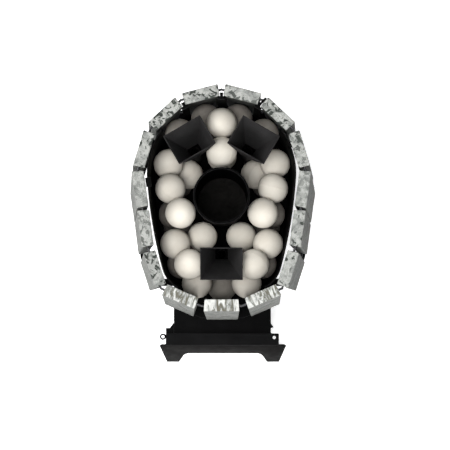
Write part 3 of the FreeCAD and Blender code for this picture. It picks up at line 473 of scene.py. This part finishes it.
def glass_finish(name, tint):
    """Tinted fire glass with a faint cloudy haze of smoke."""
    finish = Finish(name)
    smoke = finish.noise(16, 5, 0.6, 0.6)
    tone = finish.ramp(smoke, (0.35, tint), (0.75, shaded(tint, 0.35)))
    finish.set(Base_Color=tone, Transmission_Weight=0.6, IOR=1.45,
               Roughness=finish.ramp(smoke, (0.4, 0.02), (0.8, 0.10)))
    return finish.material


def rope_finish(name, colour):
    """Woven glass-fibre rope, off-white with greyed strands."""
    finish = Finish(name)
    strands = finish.noise(700, 3, 0.6)
    tone = finish.ramp(strands, (0.3, shaded(colour, 0.55)), (0.7, colour))
    finish.set(Base_Color=tone, Specular_IOR_Level=0.1,
               Roughness=finish.ramp(strands, (0.3, 0.85), (0.7, 0.95)))
    finish.set(Normal=finish.bump(strands, 0.3 * MM))
    return finish.material


FINISH_MAKERS = {
    "stone": lambda name: stone_finish(name, False),
    "streaked_stone": lambda name: stone_finish(name, True),
    "ceramic": ceramic_finish,
    "black_paint": lambda name: paint_finish(name, settings().steel.paint, 0.66, 0.025),
    # Painted light: the black paint made lighter for the front strip, which stands in the light while the
    # tunnel lies in shade.
    "strip_paint": lambda name: paint_finish(name, shaded(settings().steel.paint, 1.8), 0.62, 0.034),
    # Painted highlight: a lighter, glossier copy of the black paint, for broken edges and rivet heads.
    "black_edge": lambda name: paint_finish(name, shaded(settings().steel.paint, 3.0), 0.55, 0.12),
    # Painted shade: a near-black paint for the faces inside the hopper outlets and the flue's bore, where no
    # light reaches.
    "outlet_black": lambda name: paint_finish(name, shaded(settings().steel.paint, 0.2), 0.9, 0.02),
    "hopper_paint": lambda name: paint_finish(name, settings().steel.hopper_paint, 0.7, 0.06),
    "foot_paint": lambda name: paint_finish(name, settings().steel.foot_paint, 0.6, 0.029),
    "bright_steel": lambda name: metal_finish(name, settings().steel.bright, 0.34),
    "rod_steel": lambda name: metal_finish(name, settings().steel.rod, 0.42, (300, 300, 300)),
    "cast_iron": lambda name: iron_finish(name, settings().steel.iron),
    "soot": lambda name: soot_finish(name, settings().steel.iron),
    "fire_glass": lambda name: glass_finish(name, settings().steel.glass),
    "seal_rope": lambda name: rope_finish(name, settings().steel.rope),
}


def finish_named(name):
    """The material of one finish, made the first time that it is asked for."""
    return bpy.data.materials.get(name) or FINISH_MAKERS[name](name)


def paint_nodes(finish, *names):
    """Give CAD nodes that keep their shape a finish."""
    for name in names:
        slots = NODES[name].data.materials
        slots.clear()
        slots.append(finish_named(finish))


def add_piece(name, mesh, finishes, node, replaces=True, matrix=None):
    """Put a mesh with its finishes into the scene, in place of a CAD node or as a piece beside it."""
    for finish in finishes:
        mesh.materials.append(finish_named(finish))
    piece = bpy.data.objects.new(name, mesh)
    bpy.context.scene.collection.objects.link(piece)
    if matrix is not None:
        piece.matrix_world = matrix
    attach(piece, BODY_OF[node])
    if replaces:
        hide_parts(node)
    return piece


def mesh_from(form, name, crease=35):
    """Mesh of a bmesh, smooth except across edges sharper than the crease angle."""
    bmesh.ops.recalc_face_normals(form, faces=form.faces)
    mesh = bpy.data.meshes.new(name)
    form.to_mesh(mesh)
    form.free()
    mesh.polygons.foreach_set("use_smooth", [True] * len(mesh.polygons))
    mesh.set_sharp_from_angle(angle=math.radians(crease))
    return mesh


def node_form(node):
    """A CAD node's mesh as a bmesh, with its triangles joined into flat faces."""
    form = bmesh.new()
    form.from_mesh(NODES[node].data)
    bmesh.ops.remove_doubles(form, verts=form.verts, dist=SAME_PLACE)
    bmesh.ops.dissolve_limit(form, angle_limit=FLAT_ANGLE, verts=form.verts, edges=form.edges)
    return form


def soften(node, finish, edge_finish, width=None):
    """Piece that replaces a CAD node, with its sharp edges broken and rounded; the bevels take the edge
    finish, on black steel a lighter painted highlight.
    """
    form = node_form(node)
    sharp = [edge for edge in form.edges
             if len(edge.link_faces) == 2 and edge.calc_face_angle(0) > SHARP_ANGLE]
    bmesh.ops.bevel(form, geom=sharp, offset=width or settings().steel.edge, segments=2, profile=0.6,
                    affect="EDGES", clamp_overlap=True, material=1)
    return add_piece(node + "_plate", mesh_from(form, node), (finish, edge_finish), node)


def blacken(piece, hidden):
    """Give the faces that a test picks the deep black of places that no light reaches."""
    piece.data.materials.append(finish_named("outlet_black"))
    for face in piece.data.polygons:
        if hidden(face):
            face.material_index = len(piece.data.materials) - 1


def grid_lines(length, step, fine):
    """Places of the lines of a grid along one side, closer together at both ends."""
    count = max(1, round((length - 4 * fine) / step))
    inner = [2 * fine + (length - 4 * fine) * i / count for i in range(count + 1)]
    return [0, fine] + inner + [length - fine, length]


def lattice_box(lines):
    """Closed skin of a block on grid lines along its three sides."""
    form = bmesh.new()
    counts = [len(side) for side in lines]
    corner = {}

    def vertex(i, j, k):
        key = (i, j, k)
        if key not in corner:
            corner[key] = form.verts.new((lines[0][i], lines[1][j], lines[2][k]))
        return corner[key]

    for axis in range(3):
        first, second = (axis + 1) % 3, (axis + 2) % 3
        for end in (0, counts[axis] - 1):
            for a in range(counts[first] - 1):
                for b in range(counts[second] - 1):
                    quad = []
                    for da, db in ((0, 0), (1, 0), (1, 1), (0, 1)):
                        index = [0, 0, 0]
                        index[axis], index[first], index[second] = end, a + da, b + db
                        quad.append(vertex(*index))
                    form.faces.new(quad)
    return form


def stave_frame(node):
    """Frame and sizes of a stave from its CAD mesh: x across, y out of its outer face, z up along it."""
    mesh = NODES[node].data
    areas = {}
    for face in mesh.polygons:
        key = tuple(round(part, 2) for part in face.normal)
        areas.setdefault(key, [0.0, Vector()])
        areas[key][0] += face.area
        areas[key][1] += face.normal * face.area
    outer = max(areas.values(), key=lambda entry: entry[0])[1].normalized()
    across = outer.cross(UP).normalized()
    along = across.cross(outer)
    spots = [(v.co.dot(across), v.co.dot(outer), v.co.dot(along)) for v in mesh.vertices]
    low = [min(spot[i] for spot in spots) for i in range(3)]
    high = [max(spot[i] for spot in spots) for i in range(3)]
    back = [spot[0] for spot in spots if spot[1] < low[1] + SAME_LEVEL]
    origin = across * ((low[0] + high[0]) / 2) + outer * high[1] + along * high[2]
    matrix = Matrix((across, outer, along)).transposed().to_4x4()
    matrix.translation = origin
    return matrix, Vector([high[i] - low[i] for i in range(3)]), max(back) - min(back)


def stone_block(size, back_width, seed):
    """Sawn stone: a tapering block with worn, chipped edges and slightly wavy faces."""
    values = settings().stave
    form = lattice_box([grid_lines(length, step, STAVE_FINE) for length, step in zip(size, STAVE_GRID)])
    half = size / 2
    shift = Vector([seed * part for part in STAVE_SHIFT])
    for vertex in form.verts:
        spot = vertex.co - half
        crumbs = 0.5 * noise.noise(vertex.co * CRUMB_SCALE + shift)
        rough = noise.noise(vertex.co * CHIP_SCALE + shift) + crumbs
        radius = values.edge_round + values.chip * max(0.0, rough - CHIP_START) ** CHIP_POWER
        core = [max(0.0, half[i] - radius) for i in range(3)]
        beyond = Vector([max(0.0, abs(spot[i]) - core[i]) for i in range(3)])
        if sum(part > 0 for part in beyond) > 1:
            beyond = beyond.normalized() * radius
        wave = values.waviness * noise.noise(vertex.co * WAVE_SCALE + shift)
        for i in range(3):
            reach = min(abs(spot[i]), core[i]) + beyond[i]
            if beyond[i] > 0:
                reach -= abs(wave)
            spot[i] = math.copysign(reach, spot[i])
        depth = (spot[1] + half[1]) / size[1]
        spot[0] *= (back_width + (size[0] - back_width) * depth) / size[0]
        vertex.co = spot - Vector((0, half[1], half[2]))
    return form


class STOVE_OT_staves(bpy.types.Operator):
    """Sawn stone staves that stand round the casing"""
    bl_idname = "stove.staves"
    bl_label = "Stone staves"

    def execute(self, context):
        for number, node in enumerate(STAVES, 1):
            name = f"stone_stave_{number:02d}"
            matrix, size, back_width = stave_frame(node)
            mesh = mesh_from(stone_block(size, back_width, number), name, crease=50)
            finish = "streaked_stone" if node in FRONT_STAVES else "stone"
            add_piece(name, mesh, (finish,), node, matrix=matrix)
        return {"FINISHED"}


class STOVE_OT_hoops(bpy.types.Operator):
    """Rods that tie the staves together, with their coupler, ledges and clips"""
    bl_idname = "stove.hoops"
    bl_label = "Hoops and ledges"

    def execute(self, context):
        paint_nodes("rod_steel", "upper_hoop", "lower_hoop")
        for node in ("hoop_coupler", "stave_ledge", "ledge_brackets", "front_ledge", "rim_clips"):
            soften(node, "black_paint", "black_edge")
        return {"FINISHED"}


def islands(node):
    """Centres and half heights of the separate solids of a CAD node; a ball's half height is its radius."""
    form = bmesh.new()
    form.from_mesh(NODES[node].data)
    bmesh.ops.remove_doubles(form, verts=form.verts, dist=SAME_PLACE)
    waiting = set(form.verts)
    found = []
    while waiting:
        group = [waiting.pop()]
        for vertex in group:
            for edge in vertex.link_edges:
                other = edge.other_vert(vertex)
                if other in waiting:
                    waiting.remove(other)
                    group.append(other)
        low = Vector([min(v.co[i] for v in group) for i in range(3)])
        high = Vector([max(v.co[i] for v in group) for i in range(3)])
        found.append(((low + high) / 2, (high.z - low.z) / 2))
    form.free()
    return sorted(found, key=lambda solid: tuple(round(part, 4) for part in solid[0]))


def middle_of(node):
    """Middle of a CAD node's box."""
    low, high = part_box(node)
    return (Vector(low) + Vector(high)) / 2


def held(value):
    """Number kept between nought and one."""
    return min(1.0, max(0.0, value))


def painted_shade_on(centre, heap, hoppers, flue):
    """Share of painted shade on a ball: a little below the top of the heap, more where other balls or the
    hoppers lie over it and towards the back.

    Balls next to the flue are painted lighter, with only a share of it.
    """
    cover = 0.0
    for other, radius in heap:
        if other.z > centre.z + COVER_RISE:
            cover += max(0.0, 1 - (other.xy - centre.xy).length / (2 * radius))
    for hopper, shade in hoppers:
        cover += max(0.0, 1 - (hopper - centre.xy).length / shade)
    cover += BACK_SHADE * held((centre.y - BACK_START) / BACK_SPAN)
    share = held((cover - SHADE_START) / SHADE_SPAN)
    below = max(other.z for other, radius in heap) - DEPTH_SHADE_FREE - centre.z
    # Painted shade, called dust here: a little darker below the top of the heap.
    dust = DEPTH_SHADE * held(below / DEPTH_SHADE_FADE)
    soot = max(dust, MOST_SHADE * share * share * (3 - 2 * share))
    return FLUE_LIT_SHARE * soot if (centre.xy - flue).length < FLUE_LIT_REACH else soot


def add_band(form, lower, upper):
    """Faces between two closed rings of vertices."""
    count = len(lower)
    for i in range(count):
        j = (i + 1) % count
        form.faces.new((lower[i], lower[j], upper[j], upper[i]))


def add_ball(form, centre, radius, seed, soot):
    """Pressed ceramic ball with a faint seam round its middle."""
    values = settings().ball
    layer = form.verts.layers.float[PAINTED_SHADE_LAYER]
    bands = [-band for band in BALL_BANDS] + [0] + list(reversed(BALL_BANDS))
    turn = Matrix.Rotation(seed * GOLDEN_ANGLE, 3, "Z") @ Matrix.Rotation(seed * TILT_STEP, 3, "X")
    shift = Vector([seed * part for part in BALL_SHIFT])
    longitudes = [math.tau * i / BALL_AROUND for i in range(BALL_AROUND)]

    def vertex(latitude, longitude):
        flat = math.cos(latitude)
        way = Vector((flat * math.cos(longitude), flat * math.sin(longitude), math.sin(latitude)))
        lift = values.unevenness * noise.noise(way * LUMP_SCALE + shift)
        if abs(latitude) < math.radians(SEAM_BAND):
            lift += values.seam
        spot = form.verts.new(centre + turn @ (way * (radius + lift - values.unevenness * 0.5)))
        # Every vertex of a ball carries the ball's share of painted shade.
        spot[layer] = soot
        return spot

    rings = [[vertex(math.radians(band), longitude) for longitude in longitudes] for band in bands]
    for lower, upper in zip(rings, rings[1:]):
        add_band(form, lower, upper)
    for ring, latitude in ((rings[0], -math.pi / 2), (rings[-1], math.pi / 2)):
        pole = vertex(latitude, 0)
        for i in range(BALL_AROUND):
            form.faces.new((ring[i], ring[(i + 1) % BALL_AROUND], pole))


class STOVE_OT_balls(bpy.types.Operator):
    """Ceramic balls heaped in the basket"""
    bl_idname = "stove.balls"
    bl_label = "Ceramic balls"

    def execute(self, context):
        groups = {node: islands(node) for node in ("stones_lower", "stones_top")}
        heap = [ball for balls in groups.values() for ball in balls]
        hoppers = [(middle_of(name).xy, shade) for name, shade in HOPPERS.items()]
        flue = middle_of("flue_socket").xy
        for node, name in (("stones_lower", "ceramic_balls_lower"), ("stones_top", "ceramic_balls_top")):
            form = bmesh.new()
            form.verts.layers.float.new(PAINTED_SHADE_LAYER)
            for number, (centre, radius) in enumerate(groups[node]):
                add_ball(form, centre, radius, number, painted_shade_on(centre, heap, hoppers, flue))
            add_piece(name, mesh_from(form, name, crease=80), ("ceramic",), node)
        return {"FINISHED"}


class STOVE_OT_casing(bpy.types.Operator):
    """Black sheet-steel casing with its base and the floor of the basket"""
    bl_idname = "stove.casing"
    bl_label = "Casing"

    def execute(self, context):
        for node in ("casing_wall", "base_plate"):
            soften(node, "black_paint", "black_edge")
        socket = soften("flue_socket", "black_paint", "black_edge")
        spots = [v.co for v in socket.data.vertices]
        middle = Vector([(min(s[i] for s in spots) + max(s[i] for s in spots)) / 2 for i in range(2)])
        bore = min((s.xy - middle).length for s in spots) + BORE_SKIN
        blacken(socket, lambda face: (face.center.xy - middle).length < bore)
        paint_nodes("black_paint", "basket_floor")
        return {"FINISHED"}


class STOVE_OT_hoppers(bpy.types.Operator):
    """Water hoppers and the pipes below them"""
    bl_idname = "stove.hoppers"
    bl_label = "Water hoppers"

    def execute(self, context):
        for node in HOPPERS:
            piece = soften(node, "hopper_paint", "hopper_paint", HOPPER_EDGE)
            outlet = max(v.co.z for v in piece.data.vertices) - HOPPER_DROP
            blacken(piece, lambda face: face.center.z < outlet)
        paint_nodes("hopper_paint", "water_pipes")
        return {"FINISHED"}


def add_tube(form, frames, outline, closed):
    """Skin over outlines that stand at frames along a path; a frame is its place, side and up directions."""
    rings = []
    for index, (place, side, up) in enumerate(frames):
        rings.append([form.verts.new(place + side * a + up * b) for a, b in outline(index)])
    for lower, upper in zip(rings, rings[1:]):
        add_band(form, lower, upper)
    if closed:
        add_band(form, rings[-1], rings[0])
    else:
        form.faces.new(rings[0])
        form.faces.new(rings[-1])


def circle_of(count):
    """Places on a circle of radius one, evenly spaced."""
    angles = [math.tau * i / count for i in range(count)]
    return [(math.cos(angle), math.sin(angle)) for angle in angles]


def add_turned(form, base, axis, profile, around=24):
    """Turned piece on an axis from its profile of radius and height in millimetres."""
    side = axis.orthogonal().normalized()
    up = axis.cross(side)
    circle = circle_of(around)
    frames = [(base + axis * (height * MM), side, up) for radius, height in profile]

    def outline(index):
        radius = profile[index][0] * MM
        return [(radius * a, radius * b) for a, b in circle]

    add_tube(form, frames, outline, False)


def upright_way(quarters):
    """Direction in an upright plane across the stove, after some quarter turns from the right."""
    angle = math.pi / 2 * quarters
    return Vector((math.cos(angle), 0, math.sin(angle)))


def seal_path(node, inset, corner):
    """Closed run of places and sideways directions along the rope of a seal, with rounded corners."""
    low, high = (Vector(end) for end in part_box(node))
    half_x = (high.x - low.x) / 2 - inset - corner
    half_z = (high.z - low.z) / 2 - inset - corner
    path = []
    for quarter, (x, z, run) in enumerate(((half_x, half_z, half_x), (-half_x, half_z, half_z),
                                           (-half_x, -half_z, half_x), (half_x, -half_z, half_z))):
        heart = middle_of(node) + Vector((x, 0, z))
        for step in range(CORNER_STEPS):
            way = upright_way(quarter + step / CORNER_STEPS)
            path.append((heart + way * corner, way))
        way = upright_way(quarter + 1)
        along = Vector((-way.z, 0, way.x))
        start = heart + way * corner
        count = int(2 * run / ROPE_STEP)
        path += [(start + along * (2 * run * i / count), way) for i in range(count)]
    return path


def braid_form(path, turns, reach, thick):
    """Flat strands laid round each other along a closed path."""
    form = bmesh.new()
    outline = [(reach * STRAND_SIZE[0] * a, thick * STRAND_SIZE[1] * b) for a, b in circle_of(6)]
    for strand in range(STRANDS):
        frames = []
        for index, (place, way) in enumerate(path):
            phase = math.tau * (turns * index / len(path) + strand / STRANDS)
            aside = way * (reach * STRAND_ORBIT[0] * math.cos(phase))
            behind = BACK * (thick * STRAND_ORBIT[1] * math.sin(phase))
            frames.append((place + aside + behind, way, BACK))
        add_tube(form, frames, lambda index: outline, True)
    return form


def add_weld(form, points, radius):
    """Rippled weld bead along a run of points."""
    places = []
    for start, end in zip(points, points[1:]):
        count = max(1, round((end - start).length / WELD_STEP))
        places += [start.lerp(end, i / count) for i in range(count)]
    places.append(points[-1])
    frames = []
    for index, place in enumerate(places):
        along = (places[min(index + 1, len(places) - 1)] - places[max(index - 1, 0)]).normalized()
        steep = abs(along.z) > 0.9
        side = (along.orthogonal() if steep else along.cross(UP)).normalized()
        frames.append((place, side, side.cross(along)))
    circle = circle_of(8)

    def outline(index):
        ripple = 0.18 * math.sin(index * 1.9)
        unevenness = 0.10 * noise.noise(places[index] * 160)
        reach = radius * (0.82 + ripple + unevenness)
        return [(reach * a, reach * b) for a, b in circle]

    add_tube(form, frames, outline, False)


class STOVE_OT_welds(bpy.types.Operator):
    """Weld beads where the fuel tunnel meets the casing"""
    bl_idname = "stove.welds"
    bl_label = "Weld beads"

    def execute(self, context):
        tunnel_low, tunnel_high = (Vector(end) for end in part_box("fuel_tunnel"))
        seam = {}
        for vertex in NODES["casing_wall"].data.vertices:
            spot = vertex.co
            if abs(spot.z - tunnel_high.z) < SAME_LEVEL and spot.y < tunnel_high.y:
                key = round(spot.x, 4)
                seam[key] = min(spot.y, seam.get(key, spot.y))
        level = tunnel_high.z + WELD_LIFT
        top = [Vector((x, seam[x] - WELD_FORWARD, level)) for x in sorted(seam)]
        form = bmesh.new()
        add_weld(form, top, WELD_RADIUS)
        for end in (top[0], top[-1]):
            side = Vector((math.copysign(WELD_LIFT, end.x), 0, 0))
            foot = Vector((end.x, end.y, tunnel_low.z + WELD_ENDS[0]))
            head = Vector((end.x, end.y, tunnel_high.z - WELD_ENDS[1]))
            add_weld(form, [foot + side, head + side], WELD_RADIUS)
        mesh = mesh_from(form, "tunnel_welds", crease=60)
        add_piece("tunnel_welds", mesh, ("black_paint",), "fuel_tunnel", replaces=False)
        return {"FINISHED"}


def add_rivets(name, node, places):
    """Rivets whose heads stand out at the front of a CAD node."""
    form = bmesh.new()
    for place in places:
        add_turned(form, place + BACK * RIVET_SINK, -BACK, RIVET_PROFILE)
    # Rivet heads take the lighter highlight paint, a painted highlight on their domes.
    add_piece(name, mesh_from(form, name), ("black_edge",), node, replaces=False)


class STOVE_OT_fasteners(bpy.types.Operator):
    """Hinge pins, bolts of the glass clips, and rivets"""
    bl_idname = "stove.fasteners"
    bl_label = "Pins, bolts and rivets"

    def execute(self, context):
        form = bmesh.new()
        pins = islands("hinge_pins")
        for centre, half in pins:
            add_turned(form, centre - UP * half, UP, PIN_PROFILE)
        add_piece("hinge_pins_turned", mesh_from(form, "hinge_pins_turned"), ("rod_steel",), "hinge_pins")
        form = bmesh.new()
        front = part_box("clip_screws")[0][1]
        for centre, half in islands("clip_screws"):
            start = Vector((centre.x, front, centre.z))
            add_turned(form, start, BACK, CLIP_BOLT_WASHER)
            add_turned(form, start, BACK, CLIP_BOLT_HEAD, around=6)
        add_piece("clip_bolts", mesh_from(form, "clip_bolts"), ("rod_steel",), "clip_screws")
        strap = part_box("door_leaf")[0][1] + STRAP_SETBACK
        places = [Vector((centre.x + reach, strap, centre.z + STRAP_LIFT))
                  for reach in STRAP_RIVETS for centre, half in pins]
        add_rivets("strap_rivets", "door_leaf", places)
        low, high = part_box("slide_rails")
        across, up = RAIL_RIVET_INSET
        places = [Vector((x, low[1], z)) for x in (low[0] + across, high[0] - across)
                  for z in (low[2] + up, high[2] - up)]
        add_rivets("rail_rivets", "slide_rails", places)
        return {"FINISHED"}


class STOVE_OT_firebox(bpy.types.Operator):
    """Fire chamber with hearth, grate and baffle"""
    bl_idname = "stove.firebox"
    bl_label = "Firebox"

    def execute(self, context):
        paint_nodes("soot", "firebox_shell", "firebox_top_plate", "hearth_plate", "baffle_ledges",
                    "sill_plate")
        soften("fire_grate", "cast_iron", "cast_iron", GRATE_EDGE)
        soften("flame_baffle", "soot", "soot", GRATE_EDGE)
        return {"FINISHED"}


class STOVE_OT_tunnel(bpy.types.Operator):
    """Fuel tunnel with its front frame, strip, eye and gussets"""
    bl_idname = "stove.tunnel"
    bl_label = "Fuel tunnel"

    def execute(self, context):
        for node in ("fuel_tunnel", "front_frame", "frame_gussets"):
            soften(node, "black_paint", "black_edge")
        # The front strip takes the lighter copy of the black paint, a painted light.
        soften("front_strip", "strip_paint", "black_edge")
        eye = soften("fixing_eye", "black_paint", "black_paint", EYE_EDGE)
        low, high = (Vector(end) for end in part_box("fixing_eye"))
        radius = (high.y - low.y) / 2
        middle = Vector((low.x + radius, low.y + radius))
        for vertex in eye.data.vertices:
            way = vertex.co.xy - middle
            if abs(way.length - radius) < EYE_RIM:
                vertex.co.xy += way.normalized() * EYE_FLARE
        return {"FINISHED"}


class STOVE_OT_feet(bpy.types.Operator):
    """Splayed foot plates"""
    bl_idname = "stove.feet"
    bl_label = "Foot plates"

    def execute(self, context):
        for node in ("front_foot_plate", "rear_foot_plate"):
            soften(node, "foot_paint", "black_edge", FOOT_EDGE)
        return {"FINISHED"}


class STOVE_OT_door(bpy.types.Operator):
    """Fuel door with glass, clips, seal and hinges"""
    bl_idname = "stove.door"
    bl_label = "Fuel door"

    def execute(self, context):
        for node in ("door_leaf", "glass_clips", "hinge_posts"):
            soften(node, "black_paint", "black_edge")
        paint_nodes("fire_glass", "door_glass")
        path = seal_path("rope_seal", ROPE_INSET, ROPE_CORNER)
        rope = braid_form(path, ROPE_TURNS, ROPE_REACH, ROPE_THICK)
        mesh = mesh_from(rope, "rope_seal_braid", crease=70)
        add_piece("rope_seal_braid", mesh, ("seal_rope",), "rope_seal")
        return {"FINISHED"}


class STOVE_OT_latch(bpy.types.Operator):
    """Door latch with its lever"""
    bl_idname = "stove.latch"
    bl_label = "Latch"

    def execute(self, context):
        soften("latch_lever", "bright_steel", "bright_steel", LEVER_EDGE)
        paint_nodes("rod_steel", "latch_spindle")
        return {"FINISHED"}


class STOVE_OT_drawer(bpy.types.Operator):
    """Ash drawer with its pull, and the air slide on its front"""
    bl_idname = "stove.drawer"
    bl_label = "Ash drawer"

    def execute(self, context):
        for node in ("ash_tray", "drawer_front", "slide_rails"):
            soften(node, "black_paint", "black_edge")
        for node in ("drawer_pull", "air_slide"):
            soften(node, "bright_steel", "bright_steel")
        return {"FINISHED"}


def floor_finish(colour, glow):
    """Pale studio floor that stays white in soft shadow."""
    finish = Finish("floor_paint")
    tone = finish.ramp(finish.noise(3, 3, 0.5), (0.3, shaded(colour, 0.985)), (0.7, colour))
    finish.set(Base_Color=tone, Roughness=0.9, Specular_IOR_Level=0.1, Emission_Color=(1, 1, 1, 1),
               Emission_Strength=glow)
    return finish.material


def backdrop_form(reach, cove, height, steps=10):
    """Studio wall round the floor, with a rounded foot."""
    form = bmesh.new()
    angles = [math.pi / 2 * i / steps for i in range(steps + 1)]
    profile = [(reach + cove * math.sin(angle), cove * (1 - math.cos(angle)) + WALL_LIFT)
               for angle in angles]
    profile.append((reach + cove, height))
    spots = [form.verts.new((radius, 0, up)) for radius, up in profile]
    lines = [form.edges.new(pair) for pair in zip(spots, spots[1:])]
    bmesh.ops.spin(form, geom=spots + lines, axis=UP, angle=math.tau, steps=WALL_SIDES, use_merge=True)
    return form


def sky_light(above, below):
    """Even white light from above, weaker from below."""
    world = bpy.data.worlds.new("studio")
    world.use_nodes = True
    tree = world.node_tree
    way = tree.nodes.new("ShaderNodeTexCoord").outputs["Generated"]
    height = tree.nodes.new("ShaderNodeSeparateXYZ")
    level = tree.nodes.new("ShaderNodeMapRange")
    tree.links.new(way, height.inputs[0])
    tree.links.new(height.outputs["Z"], level.inputs["Value"])
    spans = {"From Min": -HORIZON, "From Max": HORIZON, "To Min": below, "To Max": above}
    for name, value in spans.items():
        level.inputs[name].default_value = value
    sky = tree.nodes["Background"]
    sky.inputs["Color"].default_value = (1, 1, 1, 1)
    tree.links.new(level.outputs[0], sky.inputs["Strength"])
    return world


def add_light(name, place, size, power):
    """Large soft light that looks at the middle of the stove."""
    lamp = bpy.data.lights.new(name, "AREA")
    lamp.shape = "DISK"
    lamp.size = size
    lamp.energy = power
    item = bpy.data.objects.new(name, lamp)
    bpy.context.scene.collection.objects.link(item)
    item.location = place
    item.rotation_euler = (Vector(LIGHT_AIM) - Vector(place)).to_track_quat("-Z", "Y").to_euler()


class STOVE_OT_stage(bpy.types.Operator):
    """Pale floor, soft studio light and the camera above the stove"""
    bl_idname = "stove.stage"
    bl_label = "Stage"

    def execute(self, context):
        values = settings().stage
        scene = context.scene
        paint = floor_finish(values.floor, values.glow)
        corners = [(x * FLOOR_REACH, y * FLOOR_REACH, 0) for x, y in ((-1, -1), (1, -1), (1, 1), (-1, 1))]
        ground = bpy.data.meshes.new("floor")
        ground.from_pydata(corners, [], [(0, 1, 2, 3)])
        wall = mesh_from(backdrop_form(FLOOR_REACH, COVE_RADIUS, WALL_HEIGHT), "backdrop")
        for mesh in (ground, wall):
            mesh.materials.append(paint)
            item = bpy.data.objects.new(mesh.name, mesh)
            scene.collection.objects.link(item)
            item.visible_diffuse = False
            item.visible_glossy = item.visible_shadow = mesh is ground
        scene.world = sky_light(values.sky, values.bounce)
        for name, (place, size) in LIGHTS.items():
            add_light(name + "_light", place, size, getattr(values, name))
        scene.view_settings.view_transform = "Standard"
        lens = bpy.data.cameras.new("camera")
        lens.sensor_width = SENSOR_WIDTH
        lens.lens = values.lens
        camera = bpy.data.objects.new("camera", lens)
        scene.collection.objects.link(camera)
        camera.location = values.eye
        camera.rotation_euler = (values.tilt, values.pan, 0)
        scene.camera = camera
        return {"FINISHED"}


OPERATORS = (
    STOVE_OT_staves, STOVE_OT_hoops, STOVE_OT_balls, STOVE_OT_casing, STOVE_OT_hoppers, STOVE_OT_firebox,
    STOVE_OT_tunnel, STOVE_OT_welds, STOVE_OT_feet, STOVE_OT_door, STOVE_OT_fasteners, STOVE_OT_latch,
    STOVE_OT_drawer, STOVE_OT_stage,
)


class STOVE_PT_panel(bpy.types.Panel):
    """Lists the steps that dress the stove"""
    bl_idname = "STOVE_PT_panel"
    bl_label = "Sauna Stove"
    bl_space_type = "VIEW_3D"
    bl_region_type = "UI"
    bl_category = "Sauna Stove"

    def draw(self, context):
        for operator in OPERATORS:
            self.layout.operator(operator.bl_idname)


SETTINGS = (StaveSettings, BallSettings, SteelSettings, StageSettings, StoveSettings)
CLASSES = (*SETTINGS, *OPERATORS, STOVE_PT_panel)


def register():
    for item in CLASSES:
        bpy.utils.register_class(item)
    bpy.types.Scene.sauna_stove = PointerProperty(type=StoveSettings)


def unregister():
    del bpy.types.Scene.sauna_stove
    for item in reversed(CLASSES):
        bpy.utils.unregister_class(item)


def main():
    """Dress the stove."""
    register()
    for operator in OPERATORS:
        family, step = operator.bl_idname.split(".")
        getattr(getattr(bpy.ops, family), step)()


if __name__ == "__main__":
    main()
